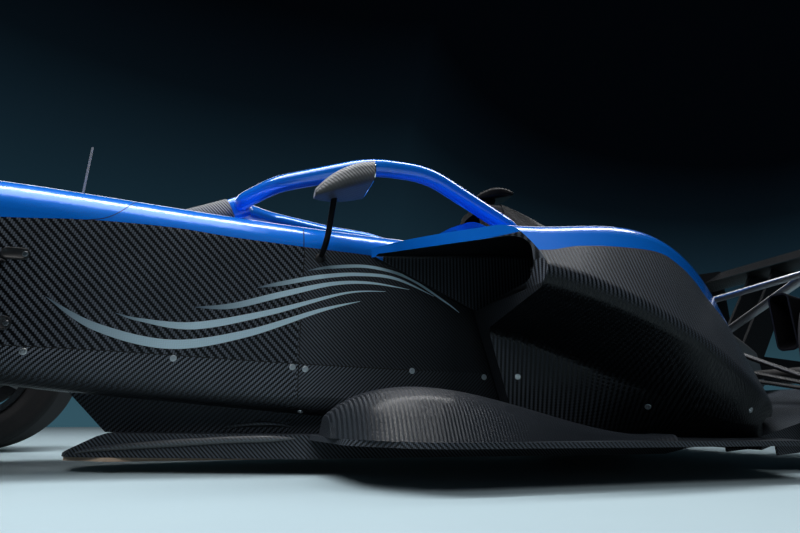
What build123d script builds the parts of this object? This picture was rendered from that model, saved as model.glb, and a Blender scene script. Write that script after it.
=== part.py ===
"""Open wheel racing car, single seat, with a halo, swept sidepods and a flat floor.

Millimetres. +X points to the car's front, +Y to its left and +Z up.
The origin lies on the ground under the middle of the car's length.
A station is a distance behind the front axle, which at() turns into X.
"""

from build123d import *

import os
from math import cos, radians, sin

# Driving dimensions of the whole car
OVERALL_LENGTH = 4680.0
FRONT_OVERHANG = 1130.0
WHEELBASE = 2680.0
FRONT_TRACK = 1540.0
REAR_TRACK = 1500.0
X_FRONT_AXLE = OVERALL_LENGTH / 2 - FRONT_OVERHANG
NOSE_END = -FRONT_OVERHANG
REAR_END = OVERALL_LENGTH - FRONT_OVERHANG

# Clearances: a running pair, pieces that rest on each other, and pieces that pass each other
RUNNING_FIT = 0.05
SEAT_GAP = 0.2
PASSING_GAP = 6.0

# Tyres and rims
FRONT_TYRE_RADIUS = 285.0
FRONT_TYRE_WIDTH = 240.0
REAR_TYRE_RADIUS = 295.0
REAR_TYRE_WIDTH = 300.0
TREAD_SHOULDER = 26.0
SIDEWALL_TUCK = 14.0
RIM_RADIUS = 165.0
RIM_WALL = 9.0
RIM_FLANGE = 13.0
FLANGE_WIDTH = 7.0
WHEEL_WINDOWS = 9
FACE_THICKNESS = 16.0
FACE_OUTSET = 44.0
HUB_RADIUS = 46.0
STUB_RADIUS = 28.0
NUT_RADIUS = 32.0
NUT_LENGTH = 30.0
DISC_RADIUS = 128.0
DISC_WIDTH = 22.0
DRIVESHAFT_RADIUS = 15.0

# Uprights and steering
KINGPIN_INSET = 70.0
KINGPIN_RADIUS = 9.0
EYE_RADIUS = 19.0
EYE_HEIGHT = 20.0
BALL_RISE = 108.0
UPRIGHT_WIDTH = 84.0
UPRIGHT_THICKNESS = 26.0
STEER_ARM = 100.0
STEER_PIN_RADIUS = 6.0
TIE_ROD_DRIFT = 6.0
TIE_ROD_RADIUS = 8.0
ROD_EYE_HEIGHT = 22.0
RACK_RADIUS = 12.0
RACK_RISE = 60.0
RACK_HOUSING_RADIUS = 28.0
RACK_HOUSING_LENGTH = 430.0
CALIPER_RADIUS = 146.0
REAR_TOP_STATION = 2600.0
REAR_TOP_OFFSET = 571.0
REAR_TOP_HEIGHT = 592.0
POST_WIDTH = 60.0

# Steering wheel and its column
COLUMN_RADIUS = 14.0
COLUMN_TILT = 14.0
GRIP_RADIUS = 130.0
GRIP_THICKNESS = 26.0
WHEEL_STATION = 1060.0
WHEEL_HEIGHT = 548.0
DASH_STATION = 862.0
DASH_THICKNESS = 34.0
DASH_LOW = 440.0

# Survival cell
TUB_WALL = 26.0
CAVITY_FRONT = 60.0
CAVITY_REAR = 1850.0
COCKPIT_FRONT = 940.0
COCKPIT_REAR = 1690.0
COCKPIT_HALF_WIDTH = 205.0
COCKPIT_CORNER = 95.0
COCKPIT_SILL = 560.0
NOSE_JOINT = -250.0
TUB_END = 1900.0

# Floor, plank and splitter
PLANK_BOTTOM = 28.0
PLANK_THICKNESS = 9.0
PLANK_HALF_WIDTH = 150.0
FLOOR_UNDERSIDE = PLANK_BOTTOM + PLANK_THICKNESS
FLOOR_TOP = 94.0
STEP_THICKNESS = 12.0
SPLITTER_STATION = 510.0
FLOOR_STATION = 1090.0
FLOOR_END = 2330.0
FLOOR_HALF_WIDTH = 690.0
DIFFUSER_HALF_WIDTH = 500.0
DIFFUSER_END = 3060.0
DIFFUSER_TOP = 262.0
DIFFUSER_SKIN = 12.0
FENCE_THICKNESS = 6.0

# Sidepods
POD_INNER = 286.0
DUCT_INNER = 296.0
DUCT_END = 2080.0
RADIATOR_STATION = 1780.0
RADIATOR_THICKNESS = 60.0
COVER_WALL = 7.0

# Engine, gearbox and tail
ENGINE_HALF_WIDTH = 190.0
ENGINE_TOP = 500.0
ENGINE_END = 2290.0
GEARBOX_END = 2960.0
TAIL_END = 3400.0
TAIL_LIGHT_LENGTH = 24.0
TOW_EYE_BORE = 26.0
TOW_EYE_RADIUS = 26.0
TOW_EYE_WIDTH = 12.0

# Wings
FRONT_WING_SPAN = 1700.0
FRONT_WING_HEIGHT = 92.0
FRONT_WING_CHORD = 310.0
FLAP_INBOARD = 260.0
ENDPLATE_THICKNESS = 8.0
REAR_WING_SPAN = 980.0
REAR_WING_HEIGHT = 800.0
REAR_WING_CHORD = 300.0
PYLON_OFFSET = 62.0
PYLON_THICKNESS = 12.0

# Halo, mirrors and aerial
HALO_RADIUS = 26.0
PILLAR_CHORD = 74.0
PILLAR_WIDTH = 34.0
MIRROR_OFFSET = 400.0
MIRROR_HEIGHT = 752.0
MIRROR_STATION = 1196.0
MIRROR_GLASS = 4.0
STALK_RADIUS = 8.0
AERIAL_STATION = 420.0
AERIAL_RADIUS = 3.0
AERIAL_TIP = 925.0
HEADREST_HALF_WIDTH = 262.0


def at(station):
    """X of a station."""
    return X_FRONT_AXLE - station


def cross_plane(station):
    """Plane across the car: its local x is the car's left and its local y is up."""
    return Plane(origin=(at(station), 0, 0), x_dir=(0, 1, 0), z_dir=(1, 0, 0))


def rounded(points, radii):
    """Closed outline with its own radius at each corner, 0 for a sharp one."""
    face = make_face(Polyline(*points, close=True))
    for (px, py), radius in zip(points, radii):
        if radius > 0:
            corner = face.vertices().sort_by_distance((px, py, 0))[0]
            face = fillet(corner, radius)
    return face


def trapezoid(station, half_bottom, half_top, bottom, top, r_bottom, r_top):
    """Section across the car, symmetric about its middle."""
    points = [(-half_bottom, bottom), (half_bottom, bottom), (half_top, top), (-half_top, top)]
    return cross_plane(station) * rounded(points, [r_bottom, r_bottom, r_top, r_top])


def side_profile(points, low, high, radii=None):
    """Solid of a side view, given as stations and heights, between two offsets to the left."""
    flat = [(at(station), height) for station, height in points]
    plane = Plane(origin=(0, low, 0), x_dir=(1, 0, 0), z_dir=(0, -1, 0))
    return extrude(plane * rounded(flat, radii or [0] * len(flat)), -(high - low))


def plan_profile(points, low, high, radii=None):
    """Solid of a plan, given as stations and offsets to the left, between two heights."""
    flat = [(at(station), offset) for station, offset in points]
    plane = Plane(origin=(0, 0, low))
    return extrude(plane * rounded(flat, radii or [0] * len(flat)), high - low)


def mirrored(points):
    """Outline of one half of a plan, run back along the other side."""
    return points + [(station, -offset) for station, offset in reversed(points)]


def place(station, offset, height):
    """Point from a station, an offset to the left and a height."""
    return Vector(at(station), offset, height)


def strut(start, end, chord, thickness):
    """Streamlined arm between two points, with its chord level along the car."""
    run = end - start
    level = Vector(1, 0, 0) - run.normalized() * run.normalized().X
    plane = Plane(origin=start, x_dir=level, z_dir=run)
    return extrude(plane * Ellipse(chord / 2, thickness / 2), run.length)


def rod(start, end, radius):
    """Round rod between two points."""
    return extrude(Plane(origin=start, z_dir=end - start) * Circle(radius), (end - start).length)


def both_sides(shape):
    """The piece and its mirror image on the other side of the car."""
    return [shape, mirror(shape, about=Plane.XZ)]


def largest(shape):
    """The biggest solid of a cut piece, without the offcuts."""
    return max(shape.solids(), key=lambda solid: solid.volume)


def aerofoil(nose, tail, rise, sag, low, high):
    """Wing element of two arcs between its nose and tail edge, from one offset to another."""
    (s0, z0), (s1, z1) = nose, tail
    middle = (s0 + s1) / 2
    height = (z0 + z1) / 2
    upper = ThreePointArc((at(s0), z0), (at(middle), height + rise), (at(s1), z1))
    lower = ThreePointArc((at(s0), z0), (at(middle), height - sag), (at(s1), z1))
    plane = Plane(origin=(0, low, 0), x_dir=(1, 0, 0), z_dir=(0, -1, 0))
    return extrude(plane * make_face([upper, lower]), -(high - low))


def save(shapes, name):
    """Writes one node, made of one or more solids."""
    solids = []
    for shape in shapes if isinstance(shapes, (list, tuple)) else [shapes]:
        solids.extend(shape.solids())
    export_step(solids[0] if len(solids) == 1 else Compound(children=solids), f"parts/{name}.step")


# Survival cell: columns are station, half_bottom, half_top, bottom, top, r_bottom, r_top
TUB_SECTIONS = [
    (NOSE_JOINT, 150, 165, 330, 668, 50, 70),
    (100, 186, 206, 240, 722, 65, 88),
    (520, 218, 238, 190, 706, 75, 92),
    (1000, 256, 264, 150, 676, 60, 88),
    (1400, 274, 278, 118, 662, 40, 76),
    (TUB_END, 274, 278, FLOOR_TOP, 662, 30, 76),
]


def tub_outside():
    """Closed outer form of the survival cell with its keel."""
    body = loft([trapezoid(*row) for row in TUB_SECTIONS])
    keel_side = side_profile(
        [(470, 215), (SPLITTER_STATION + 90, FLOOR_TOP), (1420, FLOOR_TOP), (1420, 215)], -260, 260
    )
    keel_plan = plan_profile(mirrored([(440, 30), (760, 110), (1420, 255)]), 0, 300)
    return body + (keel_side & keel_plan)


def tub_cavity():
    """Space for the driver, one wall inside the outer form."""
    rows = []
    for station, half_bottom, half_top, bottom, top, r_bottom, r_top in TUB_SECTIONS[1:]:
        inner_station = min(max(station, CAVITY_FRONT), CAVITY_REAR)
        rows.append(
            (
                inner_station,
                half_bottom - TUB_WALL,
                half_top - TUB_WALL,
                bottom + TUB_WALL,
                top - TUB_WALL,
                max(r_bottom - TUB_WALL, 10),
                max(r_top - TUB_WALL, 10),
            )
        )
    return loft([trapezoid(*row) for row in rows])


def column_axis():
    """Plane at the middle of the steering wheel, facing the driver along the column."""
    tilt = radians(COLUMN_TILT)
    centre = place(WHEEL_STATION, 0, WHEEL_HEIGHT)
    return Plane(origin=centre, x_dir=(0, -1, 0), z_dir=(-cos(tilt), 0, sin(tilt)))


def rack_point(offset):
    """Point on the rack's axis, which lies ahead of the front axle."""
    return place(-STEER_ARM, offset, FRONT_TYRE_RADIUS + RACK_RISE)


def monocoque(outside):
    """Hollow survival cell with its cockpit opening, dash hoop and steering rack bore."""
    opening = plan_profile(
        [
            (COCKPIT_FRONT, -COCKPIT_HALF_WIDTH),
            (COCKPIT_FRONT, COCKPIT_HALF_WIDTH),
            (COCKPIT_REAR, COCKPIT_HALF_WIDTH),
            (COCKPIT_REAR, -COCKPIT_HALF_WIDTH),
        ],
        COCKPIT_SILL,
        800,
        [COCKPIT_CORNER] * 4,
    )
    dash = side_profile(
        [
            (DASH_STATION, DASH_LOW),
            (DASH_STATION + DASH_THICKNESS, DASH_LOW),
            (DASH_STATION + DASH_THICKNESS, 800),
            (DASH_STATION, 800),
        ],
        -300,
        300,
    )
    cavity = tub_cavity()
    shell = outside - cavity - opening + (dash & cavity)
    shaft = column_axis().offset(-500)
    shell -= extrude(shaft * Circle(COLUMN_RADIUS + RUNNING_FIT), 500)
    reach = RACK_HOUSING_LENGTH / 2
    return shell - rod(rack_point(-reach), rack_point(reach), RACK_HOUSING_RADIUS + SEAT_GAP)


def rack_housing():
    """Tube across the front of the cell in which the rack slides."""
    reach = RACK_HOUSING_LENGTH / 2
    tube = rod(rack_point(-reach), rack_point(reach), RACK_HOUSING_RADIUS)
    return tube - rod(rack_point(-reach - 10), rack_point(reach + 10), RACK_RADIUS + RUNNING_FIT)


# Nose: columns as for the survival cell
NOSE_SECTIONS = [
    (NOSE_JOINT, 150, 165, 330, 668, 50, 70),
    (-640, 112, 118, 250, 492, 45, 60),
    (-960, 72, 80, 208, 340, 34, 42),
    (-1065, 46, 50, 222, 300, 26, 28),
]


def front_mainplane():
    """Lowest front wing element, tip to tip between the endplates."""
    half = FRONT_WING_SPAN / 2 - ENDPLATE_THICKNESS
    nose = (NOSE_END, FRONT_WING_HEIGHT)
    tail = (NOSE_END + FRONT_WING_CHORD, FRONT_WING_HEIGHT + 22)
    return aerofoil(nose, tail, 14, 16, -half, half)


# Front flaps: columns are nose station, nose height, tail station, tail height
FRONT_FLAPS = [
    (-845, 128, -735, 176),
    (-760, 190, -655, 250),
]


def front_flaps():
    """Two flaps on each side, outboard of the plain middle of the wing."""
    half = FRONT_WING_SPAN / 2 - ENDPLATE_THICKNESS
    flaps = []
    for s0, z0, s1, z1 in FRONT_FLAPS:
        flap = aerofoil((s0, z0), (s1, z1), 1, 15, FLAP_INBOARD, half)
        flaps += both_sides(flap)
    return flaps


def front_endplates():
    """Upright plates that close the front wing's tips."""
    half = FRONT_WING_SPAN / 2
    outline = [(-1120, 40), (-625, 40), (-625, 265), (-760, 265), (-1120, 130)]
    plate = side_profile(outline, half - ENDPLATE_THICKNESS, half, [20, 12, 24, 60, 30])
    return both_sides(plate)


def nose_cone(mainplane):
    """Tapered nose with the two pylons that carry the front wing."""
    body = loft([trapezoid(*row) for row in NOSE_SECTIONS])
    pylon = side_profile([(-1030, 270), (-870, 270), (-860, 90), (-1040, 90)], 28, 38)
    for piece in both_sides(pylon):
        body += piece
    return largest(body - mainplane)


def floor_boat():
    """Central keel of the floor, drawn out forward into the splitter."""
    rise_start = FLOOR_END - 130
    side = side_profile(
        [
            (SPLITTER_STATION, FLOOR_UNDERSIDE),
            (SPLITTER_STATION, FLOOR_UNDERSIDE + 6),
            (SPLITTER_STATION + 86, FLOOR_TOP - 8),
            (SPLITTER_STATION + 110, FLOOR_TOP),
            (FLOOR_END, FLOOR_TOP),
            (FLOOR_END, FLOOR_TOP - 34),
            (rise_start, FLOOR_UNDERSIDE),
        ],
        -400,
        400,
    )
    plan = plan_profile(
        mirrored([(SPLITTER_STATION, 110), (FLOOR_STATION, 285), (FLOOR_END, 285)]),
        0,
        200,
        [80, 0, 0, 0, 0, 80],
    )
    return side & plan


def floor_panel():
    """Flat floor with the step beside the keel."""
    step = plan_profile(
        mirrored(
            [
                (FLOOR_STATION, 240),
                (FLOOR_STATION + 40, 540),
                (FLOOR_STATION + 170, FLOOR_HALF_WIDTH),
                (FLOOR_END - 95, FLOOR_HALF_WIDTH),
                (FLOOR_END, 560),
            ]
        ),
        FLOOR_TOP - STEP_THICKNESS,
        FLOOR_TOP,
        [0, 90, 160, 60, 0, 0, 60, 160, 90, 0],
    )
    return floor_boat() + step


# Rounded fairings along the floor's edge: columns are station, inner offset, outer offset, height
FAIRING_SECTIONS = [
    (FLOOR_STATION + 22, 320, 470, 46),
    (FLOOR_STATION + 125, 350, 640, 104),
    (FLOOR_STATION + 400, 440, 672, 74),
    (FLOOR_STATION + 760, 570, 684, 14),
]


def floor_fairing():
    """Bulge that guides air along the floor's edge, highest near its front."""
    faces = []
    for station, inner, outer, height in FAIRING_SECTIONS:
        lean = 0.3 * (outer - inner)
        points = [
            (inner, FLOOR_TOP),
            (outer, FLOOR_TOP),
            (outer - 0.5 * height, FLOOR_TOP + height),
            (inner + lean, FLOOR_TOP + height),
        ]
        soft = 1.05 * height
        faces.append(cross_plane(station) * rounded(points, [0, 0, soft, soft]))
    return loft(faces)


def skid_plank():
    """Wooden plank under the floor's middle."""
    half = [
        (SPLITTER_STATION + 12, 90),
        (SPLITTER_STATION + 120, PLANK_HALF_WIDTH),
        (FLOOR_END - 140, PLANK_HALF_WIDTH),
    ]
    return plan_profile(mirrored(half), PLANK_BOTTOM, FLOOR_UNDERSIDE)


def diffuser():
    """Rising rear end of the floor with upright fences under it."""
    half = DIFFUSER_HALF_WIDTH
    ramp = side_profile(
        [
            (FLOOR_END, FLOOR_TOP - 34),
            (FLOOR_END, FLOOR_TOP),
            (DIFFUSER_END, DIFFUSER_TOP),
            (DIFFUSER_END, DIFFUSER_TOP - DIFFUSER_SKIN),
        ],
        -half,
        half,
    )
    fence_side = [
        (FLOOR_END + 60, FLOOR_UNDERSIDE + 8),
        (FLOOR_END + 60, FLOOR_TOP - 4),
        (DIFFUSER_END, DIFFUSER_TOP - 4),
        (DIFFUSER_END, FLOOR_UNDERSIDE + 60),
    ]
    for offset in (170, 335, half - FENCE_THICKNESS):
        for piece in both_sides(side_profile(fence_side, offset, offset + FENCE_THICKNESS)):
            ramp += piece
    return ramp


# Sidepods: station, foot, knee, knee height, widest, its height, shoulder, its height, inner top
POD_SECTIONS = [
    (1215, 300, 318, 400, 640, 446, 560, 584, 594),
    (1550, 302, 336, 386, 682, 440, 590, 604, 628),
    (1820, 392, 462, 276, 690, 376, 588, 642, 656),
    (2050, 490, 572, 158, 670, 284, 568, 616, 636),
    (2260, 518, 556, 126, 598, 200, 496, 476, 540),
    (2500, 366, 386, 120, 412, 172, 366, 350, 400),
]

# Air duct inside, round at its outer end: station, outer offset, low inner, low outer, top outer, top inner
DUCT_SECTIONS = [
    (1180, 590, 440, 458, 556, 580),
    (1550, 622, 436, 456, 566, 612),
    (1820, 612, 420, 440, 570, 626),
    (DUCT_END, 540, 400, 420, 520, 560),
]


def pod_outside():
    """Closed outer form of the left sidepod, undercut at the front."""
    faces = []
    for station, foot, knee, knee_z, wide, wide_z, shoulder, shoulder_z, top in POD_SECTIONS:
        points = [
            (POD_INNER, FLOOR_TOP),
            (foot, FLOOR_TOP),
            (knee, knee_z),
            (wide, wide_z),
            (shoulder, shoulder_z),
            (POD_INNER, top),
        ]
        faces.append(cross_plane(station) * rounded(points, [0, 0, 30, 40, 60, 0]))
    return loft(faces)


def pod_duct():
    """Space from the inlet back to the radiator."""
    faces = []
    for station, outer, low_in, low_out, top_out, top_in in DUCT_SECTIONS:
        points = [(DUCT_INNER, low_in), (outer, low_out), (outer, top_out), (DUCT_INNER, top_in)]
        nose = 0.44 * (top_out - low_out)
        faces.append(cross_plane(station) * rounded(points, [10, nose, nose, 10]))
    return loft(faces)


def inlet_cut():
    """Space ahead of the inlet, whose upper lip sweeps back from the cell's side."""
    faces = []
    for offset, lip_station in ((POD_INNER - 8, 1234), (FLOOR_HALF_WIDTH + 10, 1616)):
        points = [
            (1100, 40),
            (1672, 40),
            (1556, 440),
            (lip_station, 572),
            (lip_station, 720),
            (1100, 720),
        ]
        plane = Plane(origin=(0, offset, 0), x_dir=(1, 0, 0), z_dir=(0, -1, 0))
        faces.append(plane * make_face(Polyline(*[(at(s), z) for s, z in points], close=True)))
    return loft(faces, ruled=True)


def sidepod():
    """Left sidepod with its swept inlet and hollow duct."""
    below_ramp = side_profile(
        [(FLOOR_END, 0), (FLOOR_END, FLOOR_TOP), (DIFFUSER_END, DIFFUSER_TOP), (DIFFUSER_END, 0)], 0, 900
    )
    return pod_outside() - pod_duct() - inlet_cut() - below_ramp


def radiator(pod):
    """Cooler across the duct, set on the duct's floor."""
    half = RADIATOR_THICKNESS / 2
    core = side_profile(
        [
            (RADIATOR_STATION - half, 380),
            (RADIATOR_STATION + half, 380),
            (RADIATOR_STATION + half, 590),
            (RADIATOR_STATION - half, 590),
        ],
        DUCT_INNER + 4,
        540,
    )
    return core - pod


# Engine cover: station, half_bottom, bottom, half_shoulder, shoulder, half_top, top
COVER_SECTIONS = [
    (1780, 180, 668, 168, 720, 92, 902),
    (1930, 270, 668, 240, 700, 66, 868),
    (2180, 270, 530, 236, 590, 44, 756),
    (2440, 236, 404, 200, 460, 36, 606),
]


def cover_form(inset):
    """Engine cover's form, drawn in by an inset and then open below."""
    faces = []
    drop = 40 if inset else 0
    for station, half_bottom, bottom, half_shoulder, shoulder, half_top, top in COVER_SECTIONS:
        right = [
            (half_bottom - inset, bottom - drop),
            (half_shoulder - inset, shoulder),
            (half_top - 0.6 * inset, top - inset),
        ]
        points = right + [(-offset, height) for offset, height in reversed(right)]
        faces.append(cross_plane(station) * rounded(points, [0, 30, 26, 26, 30, 0]))
    return loft(faces)


def engine_cover():
    """Thin cover behind the roll hoop, open below and at the back."""
    return cover_form(0) - cover_form(COVER_WALL)


def roll_hoop(outside):
    """Hoop behind the driver's head with the engine's air intake through it."""
    front, back = 1700, 1780
    ring = loft([trapezoid(front, 175, 84, 640, 896, 8, 40), trapezoid(back, 182, 92, 640, 902, 8, 40)])
    mouth_front = trapezoid(front - 5, 92, 62, 745, 872, 30, 34)
    mouth_back = trapezoid(back + 5, 84, 62, 745, 872, 30, 34)
    return ring - loft([mouth_front, mouth_back]) - outside


# Camera housing: station, width, height, height of its middle
CAMERA_SECTIONS = [
    (1724, 46, 22, 948),
    (1776, 92, 44, 966),
    (1868, 78, 16, 978),
]


def camera_pod(hoop):
    """Small streamlined housing on top of the roll hoop."""
    stem = side_profile([(1722, 880), (1736, 960), (1806, 960), (1778, 880)], -16, 16)
    faces = []
    for station, width, height, middle in CAMERA_SECTIONS:
        plane = cross_plane(station)
        faces.append(plane * Pos(0, middle) * RectangleRounded(width, height, 0.4 * height))
    return stem + loft(faces) - hoop - cover_form(0)


def halo(outside):
    """Tubular hoop round the cockpit on a central pillar and two rear feet."""
    left = [
        place(1800, 225, 590),
        place(1712, 272, 722),
        place(1400, 312, 848),
        place(1225, 300, 850),
        place(970, 150, 820),
    ]
    front = place(845, 0, 790)
    path = left + [front] + [Vector(p.X, -p.Y, p.Z) for p in reversed(left)]
    radii = [120, 300, 260, 240, 90, 240, 260, 300, 120]
    line = FilletPolyline(*path, radius=radii)
    tube = sweep(Plane(origin=line @ 0, z_dir=line % 0) * Circle(HALO_RADIUS), path=line)
    foot = place(610, 0, 660)
    pillar = strut(foot, place(888, 0, 800), PILLAR_CHORD, PILLAR_WIDTH)
    return tube + pillar - outside


def headrest(outside, hoop):
    """Padded surround beside and behind the driver's head."""
    block = side_profile(
        [(1440, 600), (1440, 668), (1500, 706), (1600, 758), (1700, 742), (1700, 600)],
        -HEADREST_HALF_WIDTH,
        HEADREST_HALF_WIDTH,
        [0, 0, 60, 120, 0, 0],
    )
    space = plan_profile(
        [(1300, -190), (1300, 190), (1650, 190), (1650, -190)], 500, 900, [0, 0, 110, 110]
    )
    trim = plan_profile(
        mirrored([(1420, 256), (1500, 256), (1710, 190)]), 500, 900, [0, 40, 0, 0, 40, 0]
    )
    return (block & trim) - space - outside - hoop


def seat(cell):
    """Bucket seat on the cell's floor."""
    shell = side_profile(
        [(1100, 320), (1250, 226), (1400, 226), (1620, 560), (1676, 560), (1470, 120), (1180, 120)],
        -190,
        190,
        [0, 60, 90, 0, 0, 0, 0],
    )
    return shell - cell


# Mirror housing: station, width, height, height of its middle
MIRROR_SECTIONS = [
    (1055, 34, 20, 692),
    (1106, 116, 54, 720),
    (MIRROR_STATION, 150, 60, MIRROR_HEIGHT),
]


def mirror_housing():
    """Left mirror's streamlined housing."""
    faces = []
    for station, width, height, centre in MIRROR_SECTIONS:
        plane = cross_plane(station)
        faces.append(plane * Pos(MIRROR_OFFSET, centre) * RectangleRounded(width, height, 0.42 * height))
    return loft(faces)


def mirror_glass():
    """Reflecting plate on the housing's rear face."""
    plane = cross_plane(MIRROR_STATION)
    return extrude(plane * Pos(MIRROR_OFFSET, MIRROR_HEIGHT) * RectangleRounded(138, 48, 20), -MIRROR_GLASS)


def mirror_stalk(outside, housing):
    """Bent arm from the cell's side up to the mirror."""
    path = FilletPolyline(
        place(1100, 240, 556),
        place(1102, 352, 586),
        place(1112, 386, 722),
        radius=60,
    )
    arm = sweep(Plane(origin=path @ 0, z_dir=path % 0) * Circle(STALK_RADIUS), path=path)
    return arm - outside - housing


def aerial(outside):
    """Thin rod on the nose's top with a short base."""
    base = rod(place(AERIAL_STATION, 0, 690), place(AERIAL_STATION, 0, 726), 3 * AERIAL_RADIUS)
    mast = rod(place(AERIAL_STATION, 0, 690), place(AERIAL_STATION, 0, AERIAL_TIP), AERIAL_RADIUS)
    return base + mast - outside


def engine():
    """Engine as one plain block behind the cell."""
    return side_profile(
        [(TUB_END, FLOOR_TOP), (ENGINE_END, FLOOR_TOP), (ENGINE_END, ENGINE_TOP), (TUB_END, ENGINE_TOP)],
        -ENGINE_HALF_WIDTH,
        ENGINE_HALF_WIDTH,
    )


# Gearbox and tail: columns as for the survival cell
GEARBOX_SECTIONS = [
    (ENGINE_END, 150, 120, 116, 496, 24, 30),
    (2600, 122, 90, 170, 556, 24, 30),
    (GEARBOX_END, 84, 70, 268, 420, 20, 24),
]
TAIL_SECTIONS = [
    (GEARBOX_END, 76, 62, 278, 404, 20, 24),
    (TAIL_END, 42, 36, 304, 384, 14, 16),
]


def tail_structure():
    """Crash structure behind the gearbox with the towing eye under it."""
    body = loft([trapezoid(*row) for row in TAIL_SECTIONS])
    eye_station, eye_height = TAIL_END - 90, 276
    half = TOW_EYE_WIDTH / 2
    eye = rod(place(eye_station, -half, eye_height), place(eye_station, half, eye_height), TOW_EYE_RADIUS)
    bore = rod(place(eye_station, -60, eye_height), place(eye_station, 60, eye_height), TOW_EYE_BORE / 2)
    return body + eye - bore


def rain_light():
    """Red lamp on the end of the tail."""
    plane = cross_plane(TAIL_END)
    return extrude(plane * Pos(0, 344) * RectangleRounded(64, 72, 8), -TAIL_LIGHT_LENGTH)


def rear_mainplane():
    """Rear wing's main element."""
    half = REAR_WING_SPAN / 2 - ENDPLATE_THICKNESS
    nose = (REAR_END - 420, REAR_WING_HEIGHT)
    tail = (REAR_END - 420 + REAR_WING_CHORD, REAR_WING_HEIGHT + 62)
    return aerofoil(nose, tail, 2, 40, -half, half)


def rear_flap():
    """Rear wing's upper element."""
    half = REAR_WING_SPAN / 2 - ENDPLATE_THICKNESS
    return aerofoil((REAR_END - 150, 884), (REAR_END - 12, 962), -3, 22, -half, half)


def rear_endplates():
    """Upright plates that close the rear wing's tips."""
    half = REAR_WING_SPAN / 2
    start = REAR_END - 440
    outline = [
        (start, 640),
        (REAR_END - 90, 560),
        (REAR_END, 640),
        (REAR_END, 972),
        (start + 60, 890),
        (start, 830),
    ]
    plate = side_profile(outline, half - ENDPLATE_THICKNESS, half, [40, 30, 20, 14, 60, 30])
    return both_sides(plate)


def rear_pylons(mainplane, carriers):
    """Two upright plates from the gearbox's end up to the rear wing."""
    wing_start = REAR_END - 350
    outline = [(2860, 380), (3000, 380), (wing_start + 130, 820), (wing_start, 820)]
    pylon = side_profile(outline, PYLON_OFFSET - PYLON_THICKNESS, PYLON_OFFSET)
    for piece in [mainplane] + carriers:
        pylon -= piece
    return both_sides(largest(pylon))


def tyre(radius, width):
    """Slick tyre about the Y axis."""
    half = width / 2
    bead = half - SIDEWALL_TUCK
    outline = [
        (RIM_RADIUS + SEAT_GAP, -bead),
        (RIM_RADIUS + RIM_FLANGE + SEAT_GAP, -bead),
        (RIM_RADIUS + 50, -half),
        (radius, -half + 8),
        (radius, half - 8),
        (RIM_RADIUS + 50, half),
        (RIM_RADIUS + RIM_FLANGE + SEAT_GAP, bead),
        (RIM_RADIUS + SEAT_GAP, bead),
    ]
    face = rounded(outline, [0, 0, 30, TREAD_SHOULDER, TREAD_SHOULDER, 30, 0, 0])
    return revolve(face, Axis.Y)


def ring(outer, inner, low, high):
    """Round band about the Y axis."""
    plane = Plane(origin=(0, low, 0), x_dir=(1, 0, 0), z_dir=(0, 1, 0))
    face = Circle(outer) - Circle(inner) if inner > 0 else Circle(outer)
    return extrude(plane * face, high - low)


def rim(width, stub_end):
    """Left wheel's rim with spokes, centre nut, brake disc and stub shaft, about the Y axis."""
    half = width / 2
    bead = half - SIDEWALL_TUCK
    barrel_inside = RIM_RADIUS - RIM_WALL
    body = ring(RIM_RADIUS, barrel_inside, -half + FLANGE_WIDTH, half - FLANGE_WIDTH)
    for low in (-bead - FLANGE_WIDTH - SEAT_GAP, bead + SEAT_GAP):
        body += ring(RIM_RADIUS + RIM_FLANGE, barrel_inside, low, low + FLANGE_WIDTH)
    face_low = FACE_OUTSET
    face_high = FACE_OUTSET + FACE_THICKNESS
    face = ring(RIM_RADIUS - 2, 0, face_low, face_high)
    inner, outer = HUB_RADIUS + 10, barrel_inside - 10
    pitch = 360 / WHEEL_WINDOWS
    window = rounded(
        [
            (inner, -inner * 0.16),
            (outer, -outer * 0.28),
            (outer, outer * 0.28),
            (inner, inner * 0.16),
        ],
        [6, 10, 10, 6],
    )
    plane = Plane(origin=(0, face_low - 5, 0), x_dir=(1, 0, 0), z_dir=(0, 1, 0))
    for index in range(WHEEL_WINDOWS):
        face -= extrude(plane * Rot(0, 0, index * pitch) * window, FACE_THICKNESS + 10)
    disc_low = -KINGPIN_INSET + 35
    body += face + ring(HUB_RADIUS, 0, -KINGPIN_INSET + 20, face_high)
    body += ring(DISC_RADIUS, 0, disc_low, disc_low + DISC_WIDTH)
    body += ring(NUT_RADIUS, 0, face_high, face_high + NUT_LENGTH)
    shaft = STUB_RADIUS if stub_end > -100 else DRIVESHAFT_RADIUS
    body += ring(STUB_RADIUS, 0, -KINGPIN_INSET - 20, -KINGPIN_INSET + 20)
    if stub_end < -KINGPIN_INSET - 20:
        body += ring(shaft, 0, stub_end, -KINGPIN_INSET - 20)
    return body


# Rear brake scoop: station, width, height, height of its middle
BRAKE_DUCT_SECTIONS = [
    (2430, 62, 170, 420),
    (2625, 40, 80, 436),
]


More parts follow.
